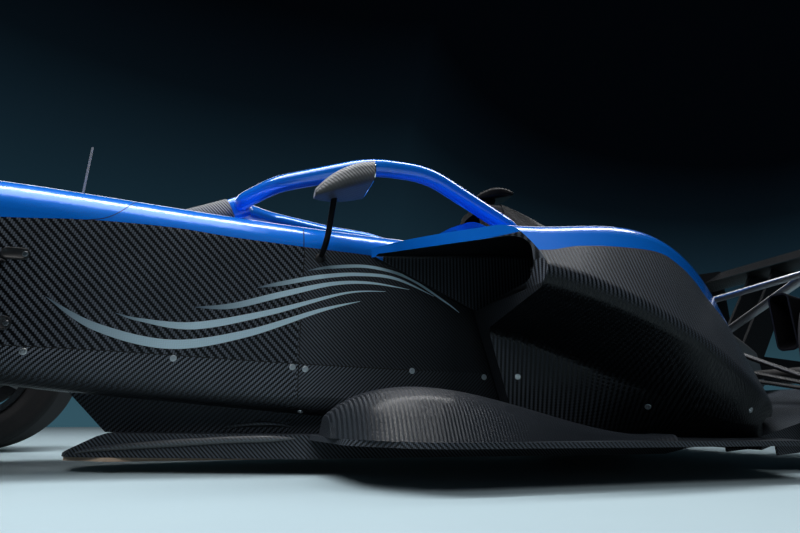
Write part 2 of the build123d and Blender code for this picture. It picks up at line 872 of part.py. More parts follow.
def rear_post():
    """Raised post of the left rear upright, inboard of the tyre, about the wheel's centre."""
    top = REAR_TOP_HEIGHT - REAR_TYRE_RADIUS
    offset = REAR_TOP_OFFSET - REAR_TRACK / 2
    ahead = WHEELBASE - REAR_TOP_STATION
    seat = top - EYE_HEIGHT / 2 - PASSING_GAP
    half = UPRIGHT_THICKNESS / 2
    side = Plane(origin=(0, offset - half, 0), x_dir=(1, 0, 0), z_dir=(0, 1, 0))
    # This plane's local y points down
    front, back = ahead + POST_WIDTH / 2, ahead - POST_WIDTH / 2
    outline = rounded([(-30, -60), (46, -60), (front, -seat), (back, -seat)], [10, 10, 8, 8])
    post = extrude(side * outline, UPRIGHT_THICKNESS)
    shelf = Box(64, -KINGPIN_INSET - offset, 26, align=(Align.CENTER, Align.MIN, Align.CENTER))
    pin_top = top + EYE_HEIGHT / 2 + 6
    pin = rod(Vector(ahead, offset, seat - 10), Vector(ahead, offset, pin_top), KINGPIN_RADIUS)
    return post + Pos(0, offset, 74) * shelf + pin


def brake_duct():
    """Left rear brake's air scoop, open to the front and set against the upright's post."""
    faces, holes = [], []
    for station, width, height, middle in BRAKE_DUCT_SECTIONS:
        plane = cross_plane(station) * Pos(REAR_TOP_OFFSET - 10, middle)
        faces.append(plane * RectangleRounded(width, height, 0.3 * width))
        holes.append(plane * RectangleRounded(width - 10, height - 10, 0.3 * width - 4))
    return loft(faces) - loft(holes)


def upright(front):
    """Left hub carrier about the wheel's centre, with its pins, caliper and bearing bore."""
    half = UPRIGHT_THICKNESS / 2
    plane = Plane(origin=(0, -KINGPIN_INSET - half, 0), x_dir=(1, 0, 0), z_dir=(0, 1, 0))
    web_height = BALL_RISE - EYE_HEIGHT / 2 - PASSING_GAP
    web = rounded(
        [
            (-UPRIGHT_WIDTH / 2, -web_height),
            (UPRIGHT_WIDTH / 2, -web_height),
            (UPRIGHT_WIDTH / 2, web_height),
            (-UPRIGHT_WIDTH / 2, web_height),
        ],
        [14] * 4,
    )
    body = extrude(plane * web, UPRIGHT_THICKNESS)
    pin_reach = BALL_RISE + EYE_HEIGHT / 2 + 6
    foot = Vector(0, -KINGPIN_INSET, -pin_reach)
    body += rod(foot, Vector(0, -KINGPIN_INSET, pin_reach if front else 0), KINGPIN_RADIUS)
    if not front:
        body += rear_post()
    disc_low = -KINGPIN_INSET + 35
    gap = PASSING_GAP
    wedge = rounded([(0, 0), (-220, 110), (-220, -110)], [0, 0, 0])
    sector = Plane(origin=(0, disc_low - 25, 0), x_dir=(1, 0, 0), z_dir=(0, 1, 0)) * wedge
    caliper = ring(CALIPER_RADIUS, 86, disc_low - gap - 12, disc_low + DISC_WIDTH + gap + 12)
    caliper &= extrude(sector, 120)
    caliper -= ring(DISC_RADIUS + gap, 0, disc_low - gap, disc_low + DISC_WIDTH + gap)
    bridge_low = -KINGPIN_INSET + half - 2
    bridge = ring(CALIPER_RADIUS - 30, 90, bridge_low, disc_low - gap - 6) & extrude(sector, 120)
    arm = Box(70, UPRIGHT_THICKNESS, 40, align=(Align.MAX, Align.CENTER, Align.CENTER))
    body += caliper + bridge + Pos(-30, -KINGPIN_INSET, 0) * arm
    body -= ring(STUB_RADIUS + RUNNING_FIT, 0, -KINGPIN_INSET - 60, -KINGPIN_INSET + 60)
    if front:
        tip = Vector(STEER_ARM, -KINGPIN_INSET, RACK_RISE)
        lever = Box(STEER_ARM, 22, 14, align=(Align.MIN, Align.CENTER, Align.MAX))
        lever_top = RACK_RISE - ROD_EYE_HEIGHT / 2 - PASSING_GAP
        body += Pos(10, -KINGPIN_INSET, lever_top) * lever
        body += rod(Vector(tip.X, tip.Y, lever_top - 7), tip + Vector(0, 0, ROD_EYE_HEIGHT), STEER_PIN_RADIUS)
    return body


def steering_rack():
    """Rack with its two tie rods in one line, whose end eyes sit on the steering arms."""
    knuckle = FRONT_TRACK / 2 - KINGPIN_INSET
    reach = RACK_HOUSING_LENGTH / 2 + 60
    body = rod(rack_point(-reach), rack_point(reach), RACK_RADIUS)
    eye_inside = STEER_PIN_RADIUS + TIE_ROD_DRIFT
    for side in (-1, 1):
        body += rod(rack_point(side * reach), rack_point(side * knuckle), TIE_ROD_RADIUS)
        centre = rack_point(side * knuckle)
        half = Vector(0, 0, ROD_EYE_HEIGHT / 2)
        body += rod(centre - half, centre + half, eye_inside + 6)
        body -= rod(centre - 2 * half, centre + 2 * half, eye_inside)
    return body


def wishbone(knuckle, pickups, chord, thickness, carrier):
    """Two arms from one eye on the upright to their pickups in the carrier."""
    half = EYE_HEIGHT / 2
    body = rod(knuckle - Vector(0, 0, half), knuckle + Vector(0, 0, half), EYE_RADIUS)
    for pickup in pickups:
        body += strut(knuckle, pickup, chord, thickness)
    body -= rod(knuckle - Vector(0, 0, 40), knuckle + Vector(0, 0, 40), KINGPIN_RADIUS + RUNNING_FIT)
    return largest(body - carrier)


def front_knuckle(rise):
    """Point on the left kingpin at a rise over the front axle."""
    return place(0, FRONT_TRACK / 2 - KINGPIN_INSET, FRONT_TYRE_RADIUS + rise)


def rear_knuckle(rise):
    """Point on the left rear upright's pin at a rise over the rear axle."""
    return place(WHEELBASE, REAR_TRACK / 2 - KINGPIN_INSET, REAR_TYRE_RADIUS + rise)


def steering_wheel():
    """Flat-topped wheel with two grips on its column shaft."""
    plane = column_axis()
    half = GRIP_THICKNESS / 2
    outline = rounded(
        [(-GRIP_RADIUS, -60), (GRIP_RADIUS, -60), (GRIP_RADIUS, 66), (-GRIP_RADIUS, 66)], [44, 44, 40, 40]
    )
    body = extrude(plane.offset(-half) * outline, GRIP_THICKNESS)
    for side in (-1, 1):
        hole = rounded(
            [(side * 70, -34), (side * 104, -30), (side * 104, 36), (side * 70, 40)], [8, 12, 12, 8]
        )
        body -= extrude(plane.offset(-40) * hole, 80)
    return body + extrude(plane.offset(-260) * Circle(COLUMN_RADIUS), 262 - half)


def wheel_at(shape, station, offset, height, side):
    """Left-hand wheel piece, set at its axle or mirrored to the right."""
    piece = Pos(at(station), offset, height) * shape
    return piece if side == "left" else mirror(piece, about=Plane.XZ)


def main():
    os.makedirs("parts", exist_ok=True)

    outside = tub_outside()
    cell = monocoque(outside)
    save(cell, "monocoque")
    save(rack_housing(), "rack_housing")
    mainplane = front_mainplane()
    save(nose_cone(mainplane), "nose_cone")
    save(mainplane, "front_wing_mainplane")
    save(front_flaps(), "front_wing_flaps")
    save(front_endplates(), "front_wing_endplates")

    save(floor_panel(), "floor")
    save(both_sides(floor_fairing()), "floor_fairings")
    save(skid_plank(), "skid_plank")
    save(diffuser(), "diffuser")
    pod = sidepod()
    save(pod, "sidepod_left")
    save(mirror(pod, about=Plane.XZ), "sidepod_right")
    save(both_sides(radiator(pod)), "radiators")

    hoop = roll_hoop(outside)
    save(engine_cover(), "engine_cover")
    save(hoop, "roll_hoop")
    save(camera_pod(hoop), "camera_pod")
    save(halo(outside), "halo")
    save(headrest(outside, hoop), "headrest")
    save(seat(cell), "seat")
    housing = mirror_housing()
    save(both_sides(housing), "mirror_housings")
    save(both_sides(mirror_glass()), "mirror_glasses")
    save(both_sides(mirror_stalk(outside, housing)), "mirror_stalks")
    save(aerial(outside), "aerial")

    gearbox = loft([trapezoid(*row) for row in GEARBOX_SECTIONS])
    tail = tail_structure()
    save(engine(), "engine")
    save(gearbox, "gearbox")
    save(tail, "tail_structure")
    save(rain_light(), "rain_light")
    wing = rear_mainplane()
    save(wing, "rear_wing_mainplane")
    save(rear_flap(), "rear_wing_flap")
    save(rear_endplates(), "rear_wing_endplates")
    save(rear_pylons(wing, [gearbox, tail]), "rear_wing_pylons")

    upper = wishbone(front_knuckle(BALL_RISE), [place(-130, 120, 470), place(380, 150, 500)], 36, 15, outside)
    lower = wishbone(front_knuckle(-BALL_RISE), [place(-60, 110, 320), place(393, 150, 345)], 36, 15, outside)
    save(both_sides(upper), "front_upper_wishbones")
    save(both_sides(lower), "front_lower_wishbones")
    pushrod = rod(place(62, 622, 206), place(62, 150, 590), 9) - outside - lower
    save(both_sides(largest(pushrod)), "front_pushrods")

    rear_top = place(REAR_TOP_STATION, REAR_TOP_OFFSET, REAR_TOP_HEIGHT)
    rear_upper = wishbone(rear_top, [place(2446, 40, 520), place(2790, 40, 462)], 52, 18, gearbox)
    low_pickups = [place(2500, 80, 372), place(2860, 60, 300)]
    rear_lower = wishbone(rear_knuckle(-BALL_RISE), low_pickups, 36, 15, gearbox)
    save(both_sides(rear_upper), "rear_upper_wishbones")
    save(both_sides(rear_lower), "rear_lower_wishbones")
    rear_pushrod = rod(place(2644, 560, 222), place(2540, 60, 480), 9) - gearbox - rear_lower
    save(both_sides(largest(rear_pushrod)), "rear_pushrods")

    save(steering_wheel(), "steering_wheel")
    save(steering_rack(), "steering_rack")
    carrier = upright(front=True)
    rear_carrier = wheel_at(upright(front=False), WHEELBASE, REAR_TRACK / 2, REAR_TYRE_RADIUS, "left")
    save(both_sides(rear_carrier), "rear_uprights")
    save(both_sides(largest(brake_duct() - rear_carrier)), "rear_brake_ducts")

    stub = -KINGPIN_INSET - 20
    driveshaft = -(REAR_TRACK / 2 - 132)
    axles = [
        ("front", 0, FRONT_TRACK / 2, FRONT_TYRE_RADIUS, FRONT_TYRE_WIDTH, stub),
        ("rear", WHEELBASE, REAR_TRACK / 2, REAR_TYRE_RADIUS, REAR_TYRE_WIDTH, driveshaft),
    ]
    for end, station, offset, radius, width, shaft_end in axles:
        band = tyre(radius, width)
        wheel = rim(width, shaft_end)
        for side in ("left", "right"):
            save(wheel_at(band, station, offset, radius, side), f"tyre_{end}_{side}")
            save(wheel_at(wheel, station, offset, radius, side), f"rim_{end}_{side}")
            if end == "front":
                save(wheel_at(carrier, station, offset, radius, side), f"upright_front_{side}")


main()
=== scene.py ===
"""Looks of the open wheel racing car: paint over carbon weave, stripes, fasteners, light and camera.

Metres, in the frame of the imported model: +X forward, +Y left, +Z up, origin on the ground.
A station is a distance behind the front axle, as in the part's source.
"""

import math

import bmesh
import bpy
from mathutils import Matrix, Vector
from mathutils.bvhtree import BVHTree


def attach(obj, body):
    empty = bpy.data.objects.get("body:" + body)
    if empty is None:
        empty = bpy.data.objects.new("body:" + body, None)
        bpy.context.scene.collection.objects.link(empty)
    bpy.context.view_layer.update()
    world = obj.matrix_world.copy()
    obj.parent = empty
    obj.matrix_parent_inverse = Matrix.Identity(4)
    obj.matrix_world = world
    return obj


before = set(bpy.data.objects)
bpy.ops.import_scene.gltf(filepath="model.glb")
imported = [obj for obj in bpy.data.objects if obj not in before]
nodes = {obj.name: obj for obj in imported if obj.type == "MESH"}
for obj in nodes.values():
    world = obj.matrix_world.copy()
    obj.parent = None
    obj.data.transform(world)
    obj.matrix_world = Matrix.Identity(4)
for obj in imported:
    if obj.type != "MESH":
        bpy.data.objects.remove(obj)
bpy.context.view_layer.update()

# Driving dimensions, as in the part's source
X_FRONT_AXLE = 1.21
WHEELBASE = 2.68
AXLES = {
    "front": {"station": 0.0, "offset": 0.77, "radius": 0.285},
    "rear": {"station": WHEELBASE, "offset": 0.75, "radius": 0.295},
}
SIDES = {"left": 1, "right": -1}

# Photograph's view: camera station, offset and height, then turn, rise and roll in degrees
CAMERA_STATION = 0.90
CAMERA_OFFSET = 1.60
CAMERA_HEIGHT = 0.14
CAMERA_YAW = 18.0
CAMERA_PITCH = 16.7
CAMERA_ROLL = 0.6
CAMERA_LENS = 22.5
SENSOR_WIDTH = 36.0
CLIP_START = 0.01

# Colours, linear
BLUE = (0.002, 0.212, 0.90, 1)
BLUE_DEEP = (0.001, 0.148, 0.73, 1)
CARBON_DARK = (0.0010, 0.0013, 0.0018, 1)
CARBON_LIGHT = (0.112, 0.134, 0.166, 1)
# Weave of the cell's lower panel, made brighter with painted light
PANEL_PAINTED_LIGHT = (0.180, 0.215, 0.265, 1)
FAIRING_LIGHT = (0.030, 0.038, 0.050, 1)
FAIRING_DARK = (0.008, 0.010, 0.014, 1)
ARM_LIGHT = (0.060, 0.066, 0.074, 1)
COVER_LIGHT = (0.016, 0.018, 0.022, 1)
WING_LIGHT = (0.016, 0.018, 0.021, 1)
# Grey weave of the mirror housings, made paler still with painted light
MIRROR_PALE_AND_LIT = (0.55, 0.57, 0.60, 1)
MIRROR_DARK = (0.13, 0.135, 0.14, 1)
# Weave of the halo's sleeve: a carbon wrap, made pale with painted highlight
SLEEVE_PALE_AND_LIT = (0.42, 0.44, 0.47, 1)
STRIPE_PALE = (0.60, 0.86, 1.0, 1)
STRIPE_DEEP = (0.055, 0.085, 0.125, 1)
PAINT_FLAKE = 0.16

# Weave: width of one tow on the front of the cell, on its lower panel, on the pods and elsewhere
COARSE_TOW = 0.0052
LOWER_TOW = 0.0036
POD_TOW = 0.0038
FINE_TOW = 0.0026
WEAVE_RELIEF = 0.0006
# Station from which the cell's weave is fine
WEAVE_CHANGE = 1.055
# Painted sheen: of the tow that runs the other way, over a tow's crown, between patches; painted shade
# facing down
CROSS_SHINE = 0.02
CROWN_POWER = 0.7
PATCH_SHINE = (0.75, 1.2)
PAINTED_SHADE_LEVEL = 0.06
# Normal's lean along the car from which a face counts as its front
FRONT_FACING = 0.93
# Normal's rise at which the painted shade on the weave is full, and from which there is none
PAINTED_SHADE_RISE = (-0.45, 0.0)
CELL_PAINTED_SHADE_RISE = (-0.90, -0.40)
# Stations between which painted shade darkens the cell towards the pods, how much, and its lower panel's
# foot
REAR_SHADE = (1.10, 1.50)
REAR_SHADE_DEPTH = 0.85
PANEL_FOOT = 0.185
# Faces of a pod that take paint: least outward and greatest forward lean, least rise on top and on the flank
POD_OUTWARD = 0.10
POD_FORWARD = 0.4
POD_UPWARD = 0.15
POD_UNDER = -0.4


def at(station):
    """X of a station."""
    return X_FRONT_AXLE - station


class Shader:
    """One material's node tree, with short calls for the nodes that it needs."""

    def __init__(self, name):
        self.material = bpy.data.materials.new(name)
        self.material.use_nodes = True
        self.tree = self.material.node_tree
        self.surface = self.tree.nodes["Principled BSDF"]

    def feed(self, socket, value):
        """Links a socket, or sets a plain value."""
        if isinstance(value, bpy.types.NodeSocket):
            self.tree.links.new(value, socket)
        else:
            socket.default_value = value

    def node(self, kind, settings=None, inputs=None):
        """Adds a node with its settings and inputs."""
        made = self.tree.nodes.new("ShaderNode" + kind)
        for key, value in (settings or {}).items():
            setattr(made, key, value)
        for key, value in (inputs or {}).items():
            self.feed(made.inputs[key], value)
        return made

    def math(self, operation, *values):
        """One sum, with sockets or numbers."""
        made = self.node("Math", {"operation": operation}, dict(enumerate(values)))
        return made.outputs[0]

    def blend(self, factor, first, second):
        """Number between two."""
        inputs = {"Factor": factor, 2: first, 3: second}
        return self.node("Mix", {"data_type": "FLOAT"}, inputs).outputs[0]

    def mix(self, factor, first, second):
        """Colour between two."""
        inputs = {0: factor, 6: first, 7: second}
        return self.node("Mix", {"data_type": "RGBA"}, inputs).outputs[2]

    def noise(self, scale, detail=3.0, stretch=(1, 1, 1)):
        """Soft noise over the object's own coordinates, from 0 to 1."""
        spread = self.node("Mapping", None, {"Vector": self.place().outputs["Object"], "Scale": stretch})
        inputs = {"Vector": spread.outputs[0], "Scale": scale, "Detail": detail}
        return self.node("TexNoise", None, inputs).outputs[0]

    def place(self):
        """The object's own coordinates, made once."""
        if "place" not in self.tree.nodes:
            self.node("TexCoord").name = "place"
        return self.tree.nodes["place"]

    def axes(self, output):
        """X, Y and Z of the place or of the normal."""
        return self.node("SeparateXYZ", None, {0: self.place().outputs[output]}).outputs

    def curve(self, value, points):
        """Height over station, read from a few points by a smooth curve."""
        low, high = points[0][0], points[-1][0]
        floor = min(height for _, height in points)
        span = max(height for _, height in points) - floor
        along = self.node("MapRange", None, {0: value, 1: low, 2: high, 3: 0.0, 4: 1.0}).outputs[0]
        made = self.node("FloatCurve", None, {"Value": along})
        line = made.mapping.curves[0].points
        while len(line) < len(points):
            line.new(0.5, 0.5)
        for dot, (station, height) in zip(line, points):
            dot.location = ((station - low) / (high - low), (height - floor) / span)
        made.mapping.update()
        return self.math("MULTIPLY_ADD", made.outputs[0], span, floor)

    def station(self):
        """Distance behind the front axle."""
        return self.math("SUBTRACT", X_FRONT_AXLE, self.axes("Object")[0])

    def bump(self, height, distance, strength=1.0):
        """Normal from a height."""
        inputs = {"Height": height, "Distance": distance, "Strength": strength}
        return self.node("Bump", None, inputs).outputs[0]

    def finish(self, inputs):
        """Feeds the surface and hands the material over."""
        for key, value in inputs.items():
            self.feed(self.surface.inputs[key], value)
        return self.material


def twill(shader, tow, turn=-1.0):
    """Two by two twill: the height of its tows and which tow is on top. Turn flips its diagonals."""
    x, y, z = shader.axes("Object")
    turned = shader.node("VectorMath", {"operation": "ABSOLUTE"}, {0: shader.place().outputs["Normal"]})
    nx, ny, nz = shader.node("SeparateXYZ", None, {0: turned.outputs[0]}).outputs
    is_top = shader.math("GREATER_THAN", nz, shader.math("MAXIMUM", nx, ny))
    is_front = shader.math("GREATER_THAN", nx, shader.math("MAXIMUM", ny, nz))
    along = shader.math("DIVIDE", shader.blend(is_front, x, y), tow)
    across = shader.math("DIVIDE", shader.blend(is_top, z, y), tow)
    return tows(shader, along, across, turn)


def bias_twill(shader, tow):
    """The same twill laid at 45 degrees, round a section or flat on a face that looks forward or back."""
    x, y, z = shader.axes("Object")
    lean = shader.math("ABSOLUTE", shader.axes("Normal")[0])
    is_front = shader.math("GREATER_THAN", lean, FRONT_FACING)
    lengthwise = shader.blend(is_front, x, y)
    round_it = shader.blend(is_front, shader.math("SUBTRACT", z, shader.math("ABSOLUTE", y)), z)
    pitch = math.sqrt(2.0) * tow
    along = shader.math("DIVIDE", shader.math("ADD", lengthwise, round_it), pitch)
    across = shader.math("DIVIDE", shader.math("SUBTRACT", lengthwise, round_it), pitch)
    return tows(shader, along, across, 1.0)


def tows(shader, along, across, turn):
    """Crowned tows of a two by two twill over two coordinates that count them."""
    count = shader.math("MULTIPLY_ADD", shader.math("FLOOR", across), turn, shader.math("FLOOR", along))
    over = shader.math("LESS_THAN", shader.math("FRACT", shader.math("DIVIDE", count, 4.0)), 0.5)
    crowns = []
    for value in (across, along):
        centred = shader.math("MULTIPLY_ADD", shader.math("FRACT", value), 2.0, -1.0)
        crowns.append(shader.math("SUBTRACT", 1.0, shader.math("MULTIPLY", centred, centred)))
    return shader.blend(over, crowns[0], crowns[1]), over


def carbon_parts(shader, weave, light=CARBON_LIGHT, dark=CARBON_DARK, under=PAINTED_SHADE_RISE):
    """Colour, roughness and normal of lacquered weave, with painted sheen, and painted shade where it faces
    down.
    """
    height, over = weave
    # Painted sheen: the colour is lit over the tows' crowns, and nearly black on the tows that run the other
    # way
    crown = shader.math("POWER", height, CROWN_POWER)
    sheen = shader.math("MULTIPLY", shader.blend(over, CROSS_SHINE, 1.0), crown)
    patchy = shader.math("MULTIPLY", sheen, shader.blend(shader.noise(9.0), *PATCH_SHINE))
    # Painted shade: the weave's colour darkens where its normal turns down
    facing = {0: shader.axes("Normal")[2], 1: under[0], 2: under[1], 3: PAINTED_SHADE_LEVEL, 4: 1.0}
    painted_shade = shader.node("MapRange", None, facing).outputs[0]
    colour = shader.mix(shader.math("MULTIPLY", patchy, painted_shade), dark, light)
    roughness = shader.blend(over, 0.30, 0.52)
    return colour, roughness, shader.bump(height, WEAVE_RELIEF, 0.7)


def carbon(name, light=CARBON_LIGHT, gloss=0.18, bias=False, dark=CARBON_DARK):
    """Bare carbon with a satin lacquer."""
    shader = Shader(name)
    lay = bias_twill if bias else twill
    colour, roughness, normal = carbon_parts(shader, lay(shader, FINE_TOW), light, dark)
    return shader.finish(
        {
            "Base Color": colour,
            "Roughness": roughness,
            "Normal": normal,
            "Specular IOR Level": gloss,
            "Coat Weight": 0.4 * gloss,
            "Coat Roughness": 0.22,
        }
    )


def blue_parts(shader):
    """Colour and roughness of the blue gloss paint with its fine flake."""
    flake = shader.noise(900.0, 1.0)
    colour = shader.mix(flake, BLUE_DEEP, BLUE)
    roughness = shader.blend(shader.noise(14.0), 0.21, 0.26)
    return colour, roughness


def blue_paint(name):
    """Blue gloss paint all over."""
    shader = Shader(name)
    colour, roughness = blue_parts(shader)
    return shader.finish(
        {
            "Base Color": colour,
            "Metallic": PAINT_FLAKE,
            "Roughness": roughness,
            "Normal": shader.bump(shader.noise(60.0), 0.0002, 0.15),
            "Coat Weight": 1.0,
            "Coat Roughness": 0.08,
        }
    )


def cell_weave(shader, station, low):
    """Coarse weave on the front of the cell, whose diagonals run the other way low down."""
    rear = shader.math("GREATER_THAN", station, WEAVE_CHANGE)
    front_tow = shader.blend(low, COARSE_TOW, LOWER_TOW)
    return twill(shader, shader.blend(rear, front_tow, FINE_TOW), shader.blend(low, -1.0, 1.0))


def cell_light(shader, station, z, low):
    """Colour of the cell's fibres: painted light on the lower panel, and painted shade towards the pods."""
    panel = shader.math("MULTIPLY", low, shader.math("GREATER_THAN", z, PANEL_FOOT))
    light = shader.mix(panel, CARBON_LIGHT, PANEL_PAINTED_LIGHT)
    shade = {0: station, 1: REAR_SHADE[0], 2: REAR_SHADE[1], 3: 0.0, 4: REAR_SHADE_DEPTH}
    return shader.mix(shader.node("MapRange", None, shade).outputs[0], light, CARBON_DARK)


def pod_faces(shader, station, y, z):
    """Mask of a pod's painted faces: its top, its flank and its lip's rim, but not the duct's inner wall."""
    nx, ny, nz = shader.axes("Normal")
    upward = shader.math("GREATER_THAN", nz, POD_UPWARD)
    outward = shader.math("GREATER_THAN", shader.math("MULTIPLY", ny, y), POD_OUTWARD)
    outward = shader.math("MULTIPLY", outward, shader.math("GREATER_THAN", nz, POD_UNDER))
    rearward = shader.math("LESS_THAN", nx, POD_FORWARD)
    rim = shader.math("GREATER_THAN", z, shader.curve(station, LIP_EDGE))
    flank = shader.math("MULTIPLY", outward, shader.math("MAXIMUM", rearward, rim))
    offset = shader.math("ABSOLUTE", y)
    outer = shader.math("GREATER_THAN", offset, shader.curve(station, DUCT_WALL))
    return shader.math("MAXIMUM", shader.math("MULTIPLY", flank, outer), upward)


def painted_carbon(name, edge, on_cell=True):
    """Blue above an edge that runs along the car and bare carbon below it, on the cell or on a pod."""
    shader = Shader(name)
    station = shader.station()
    _, y, z = shader.axes("Object")
    mask = shader.math("GREATER_THAN", z, shader.curve(station, edge))
    if on_cell:
        low = shader.math("LESS_THAN", z, shader.curve(station, PANEL_EDGE))
        weave = cell_weave(shader, station, low)
        # On the cell the weave takes painted light on its lower panel and painted shade towards the pods
        light = cell_light(shader, station, z, low)
        under = CELL_PAINTED_SHADE_RISE
    else:
        weave = bias_twill(shader, POD_TOW)
        light = CARBON_LIGHT
        under = PAINTED_SHADE_RISE
        mask = shader.math("MULTIPLY", mask, pod_faces(shader, station, y, z))
    weave_colour, weave_roughness, weave_normal = carbon_parts(shader, weave, light, under=under)
    paint_colour, paint_roughness = blue_parts(shader)
    flat = shader.node("NewGeometry").outputs["Normal"]
    normal = shader.node("Mix", {"data_type": "VECTOR"}, {0: mask, 4: weave_normal, 5: flat}).outputs[1]
    return shader.finish(
        {
            "Base Color": shader.mix(mask, weave_colour, paint_colour),
            "Metallic": shader.math("MULTIPLY", mask, PAINT_FLAKE),
            "Roughness": shader.blend(mask, weave_roughness, paint_roughness),
            "Normal": normal,
            "Specular IOR Level": 0.18,
            "Coat Weight": shader.blend(mask, 0.06, 1.0),
            "Coat Roughness": 0.16,
        }
    )


# Sideways lean from which a tyre's face counts as its sidewall
SIDEWALL_LEAN = 0.55


def rubber(name):
    """Slick tyre: a scrubbed tread and a smoother sidewall."""
    shader = Shader(name)
    lean = shader.math("ABSOLUTE", shader.axes("Normal")[1])
    wall = shader.math("GREATER_THAN", lean, SIDEWALL_LEAN)
    grain = shader.noise(160.0, 6.0)
    worn = shader.noise(22.0, 4.0, (1, 6, 1))
    tread = shader.mix(worn, (0.011, 0.011, 0.012, 1), (0.028, 0.028, 0.029, 1))
    side = shader.mix(grain, (0.011, 0.011, 0.012, 1), (0.020, 0.020, 0.021, 1))
    return shader.finish(
        {
            "Base Color": shader.mix(wall, tread, side),
            "Roughness": shader.blend(wall, shader.blend(worn, 0.72, 0.9), 0.56),
            "Normal": shader.bump(grain, 0.0004, 0.35),
            "Specular IOR Level": 0.2,
        }
    )


def metal(name, colour, roughness, brushed=(1, 1, 1)):
    """Metal with a fine grain along or across the piece."""
    shader = Shader(name)
    grain = shader.noise(140.0, 4.0, brushed)
    dull = tuple(0.72 * part for part in colour[:3]) + (1,)
    return shader.finish(
        {
            "Base Color": shader.mix(grain, dull, colour),
            "Metallic": 1.0,
            "Roughness": shader.blend(grain, 0.8 * roughness, 1.25 * roughness),
            "Normal": shader.bump(grain, 0.0001, 0.2),
        }
    )


def plastic(name, colour, roughness, gloss=0.5):
    """Moulded plastic or satin black paint."""
    shader = Shader(name)
    grain = shader.noise(420.0, 4.0)
    pale = tuple(1.5 * part + 0.004 for part in colour[:3]) + (1,)
    return shader.finish(
        {
            "Base Color": shader.mix(shader.noise(11.0), colour, pale),
            "Roughness": shader.blend(grain, 0.85 * roughness, 1.15 * roughness),
            "Normal": shader.bump(grain, 0.0002, 0.25),
            "Specular IOR Level": gloss,
        }
    )


def plank_wood(name):
    """Pale composite board with its grain along the car."""
    shader = Shader(name)
    grain = shader.noise(60.0, 6.0, (0.05, 1, 2.5))
    return shader.finish(
        {
            "Base Color": shader.mix(grain, (0.58, 0.42, 0.30, 1), (0.88, 0.70, 0.54, 1)),
            "Roughness": shader.blend(grain, 0.5, 0.75),
            "Normal": shader.bump(grain, 0.0004, 0.4),
        }
    )


# Wheel: reach of its brake disc, radius of its nut and the disc's turned rings in radians a metre
DISC_REACH = 0.130
NUT_RADIUS = 0.0335
DISC_RINGS = 2600.0


def wheel_metal(name, end, side):
    """Satin rim, dark brake disc and bright centre nut, told apart by radius and offset."""
    axle = AXLES[end]
    shader = Shader(name)
    x, y, z = shader.axes("Object")
    across = shader.math("SUBTRACT", x, at(axle["station"]))
    rise = shader.math("SUBTRACT", z, axle["radius"])
    square = shader.math("MULTIPLY_ADD", across, across, shader.math("MULTIPLY", rise, rise))
    radius = shader.math("SQRT", square)
    inboard = shader.math("LESS_THAN", shader.math("MULTIPLY", y, SIDES[side]), axle["offset"])
    in_disc = shader.math("LESS_THAN", radius, DISC_REACH)
    disc = shader.math("MULTIPLY", inboard, in_disc)
    outboard = shader.math("SUBTRACT", 1.0, inboard)
    nut = shader.math("MULTIPLY", shader.math("LESS_THAN", radius, NUT_RADIUS), outboard)
    rings = shader.math("SINE", shader.math("MULTIPLY", radius, DISC_RINGS))
    grain = shader.noise(150.0, 4.0)
    satin = shader.mix(grain, (0.030, 0.031, 0.034, 1), (0.055, 0.056, 0.060, 1))
    ceramic = shader.mix(grain, (0.020, 0.020, 0.021, 1), (0.060, 0.060, 0.062, 1))
    colour = shader.mix(disc, satin, ceramic)
    bright = (0.56, 0.57, 0.60, 1)
    return shader.finish(
        {
            "Base Color": shader.mix(nut, colour, bright),
            "Metallic": shader.blend(disc, 1.0, 0.25),
            "Roughness": shader.blend(disc, shader.blend(grain, 0.30, 0.42), 0.55),
            "Normal": shader.bump(shader.math("MULTIPLY", rings, disc), 0.0002, 0.2),
        }
    )


def glass_mirror(name):
    """Reflecting glass with a faint haze."""
    shader = Shader(name)
    return shader.finish(
        {
            "Base Color": (0.80, 0.83, 0.86, 1),
            "Metallic": 1.0,
            "Roughness": shader.blend(shader.noise(30.0), 0.03, 0.06),
        }
    )


# Pitches of the tail lamp's cells, of the coolers' fins and of their tubes, and a tube's start in its pitch
LAMP_PITCH = 0.012
FIN_PITCH = 0.0022
TUBE_PITCH = 0.011
TUBE_START = 0.78


def wave(shader, value, pitch):
    """Sine over a coordinate, one turn to a pitch."""
    return shader.math("SINE", shader.math("MULTIPLY", value, 2 * math.pi / pitch))


def lamp_red(name):
    """Red lens over a grid of small lamps."""
    shader = Shader(name)
    _, y, z = shader.axes("Object")
    cells = [shader.math("ABSOLUTE", wave(shader, value, LAMP_PITCH)) for value in (y, z)]
    dots = shader.math("MULTIPLY", cells[0], cells[1])
    return shader.finish(
        {
            "Base Color": shader.mix(dots, (0.16, 0.004, 0.004, 1), (0.55, 0.02, 0.015, 1)),
            "Roughness": 0.12,
            "Coat Weight": 1.0,
            "Normal": shader.bump(dots, 0.001, 0.4),
        }
    )


def cooler_core(name):
    """Aluminium cooler with fine upright fins between level tubes, and painted shade in the gaps."""
    shader = Shader(name)
    _, y, z = shader.axes("Object")
    fins = wave(shader, y, FIN_PITCH)
    turns = shader.math("DIVIDE", z, TUBE_PITCH)
    tubes = shader.math("GREATER_THAN", shader.math("FRACT", turns), TUBE_START)
    height = shader.math("MAXIMUM", tubes, shader.math("MULTIPLY", fins, 0.5))
    # Painted shade: the colour is dark where the fins and tubes are low
    return shader.finish(
        {
            "Base Color": shader.mix(height, (0.03, 0.03, 0.032, 1), (0.36, 0.36, 0.37, 1)),
            "Metallic": 0.85,
            "Roughness": 0.5,
            "Normal": shader.bump(height, 0.001, 0.6),
        }
    )


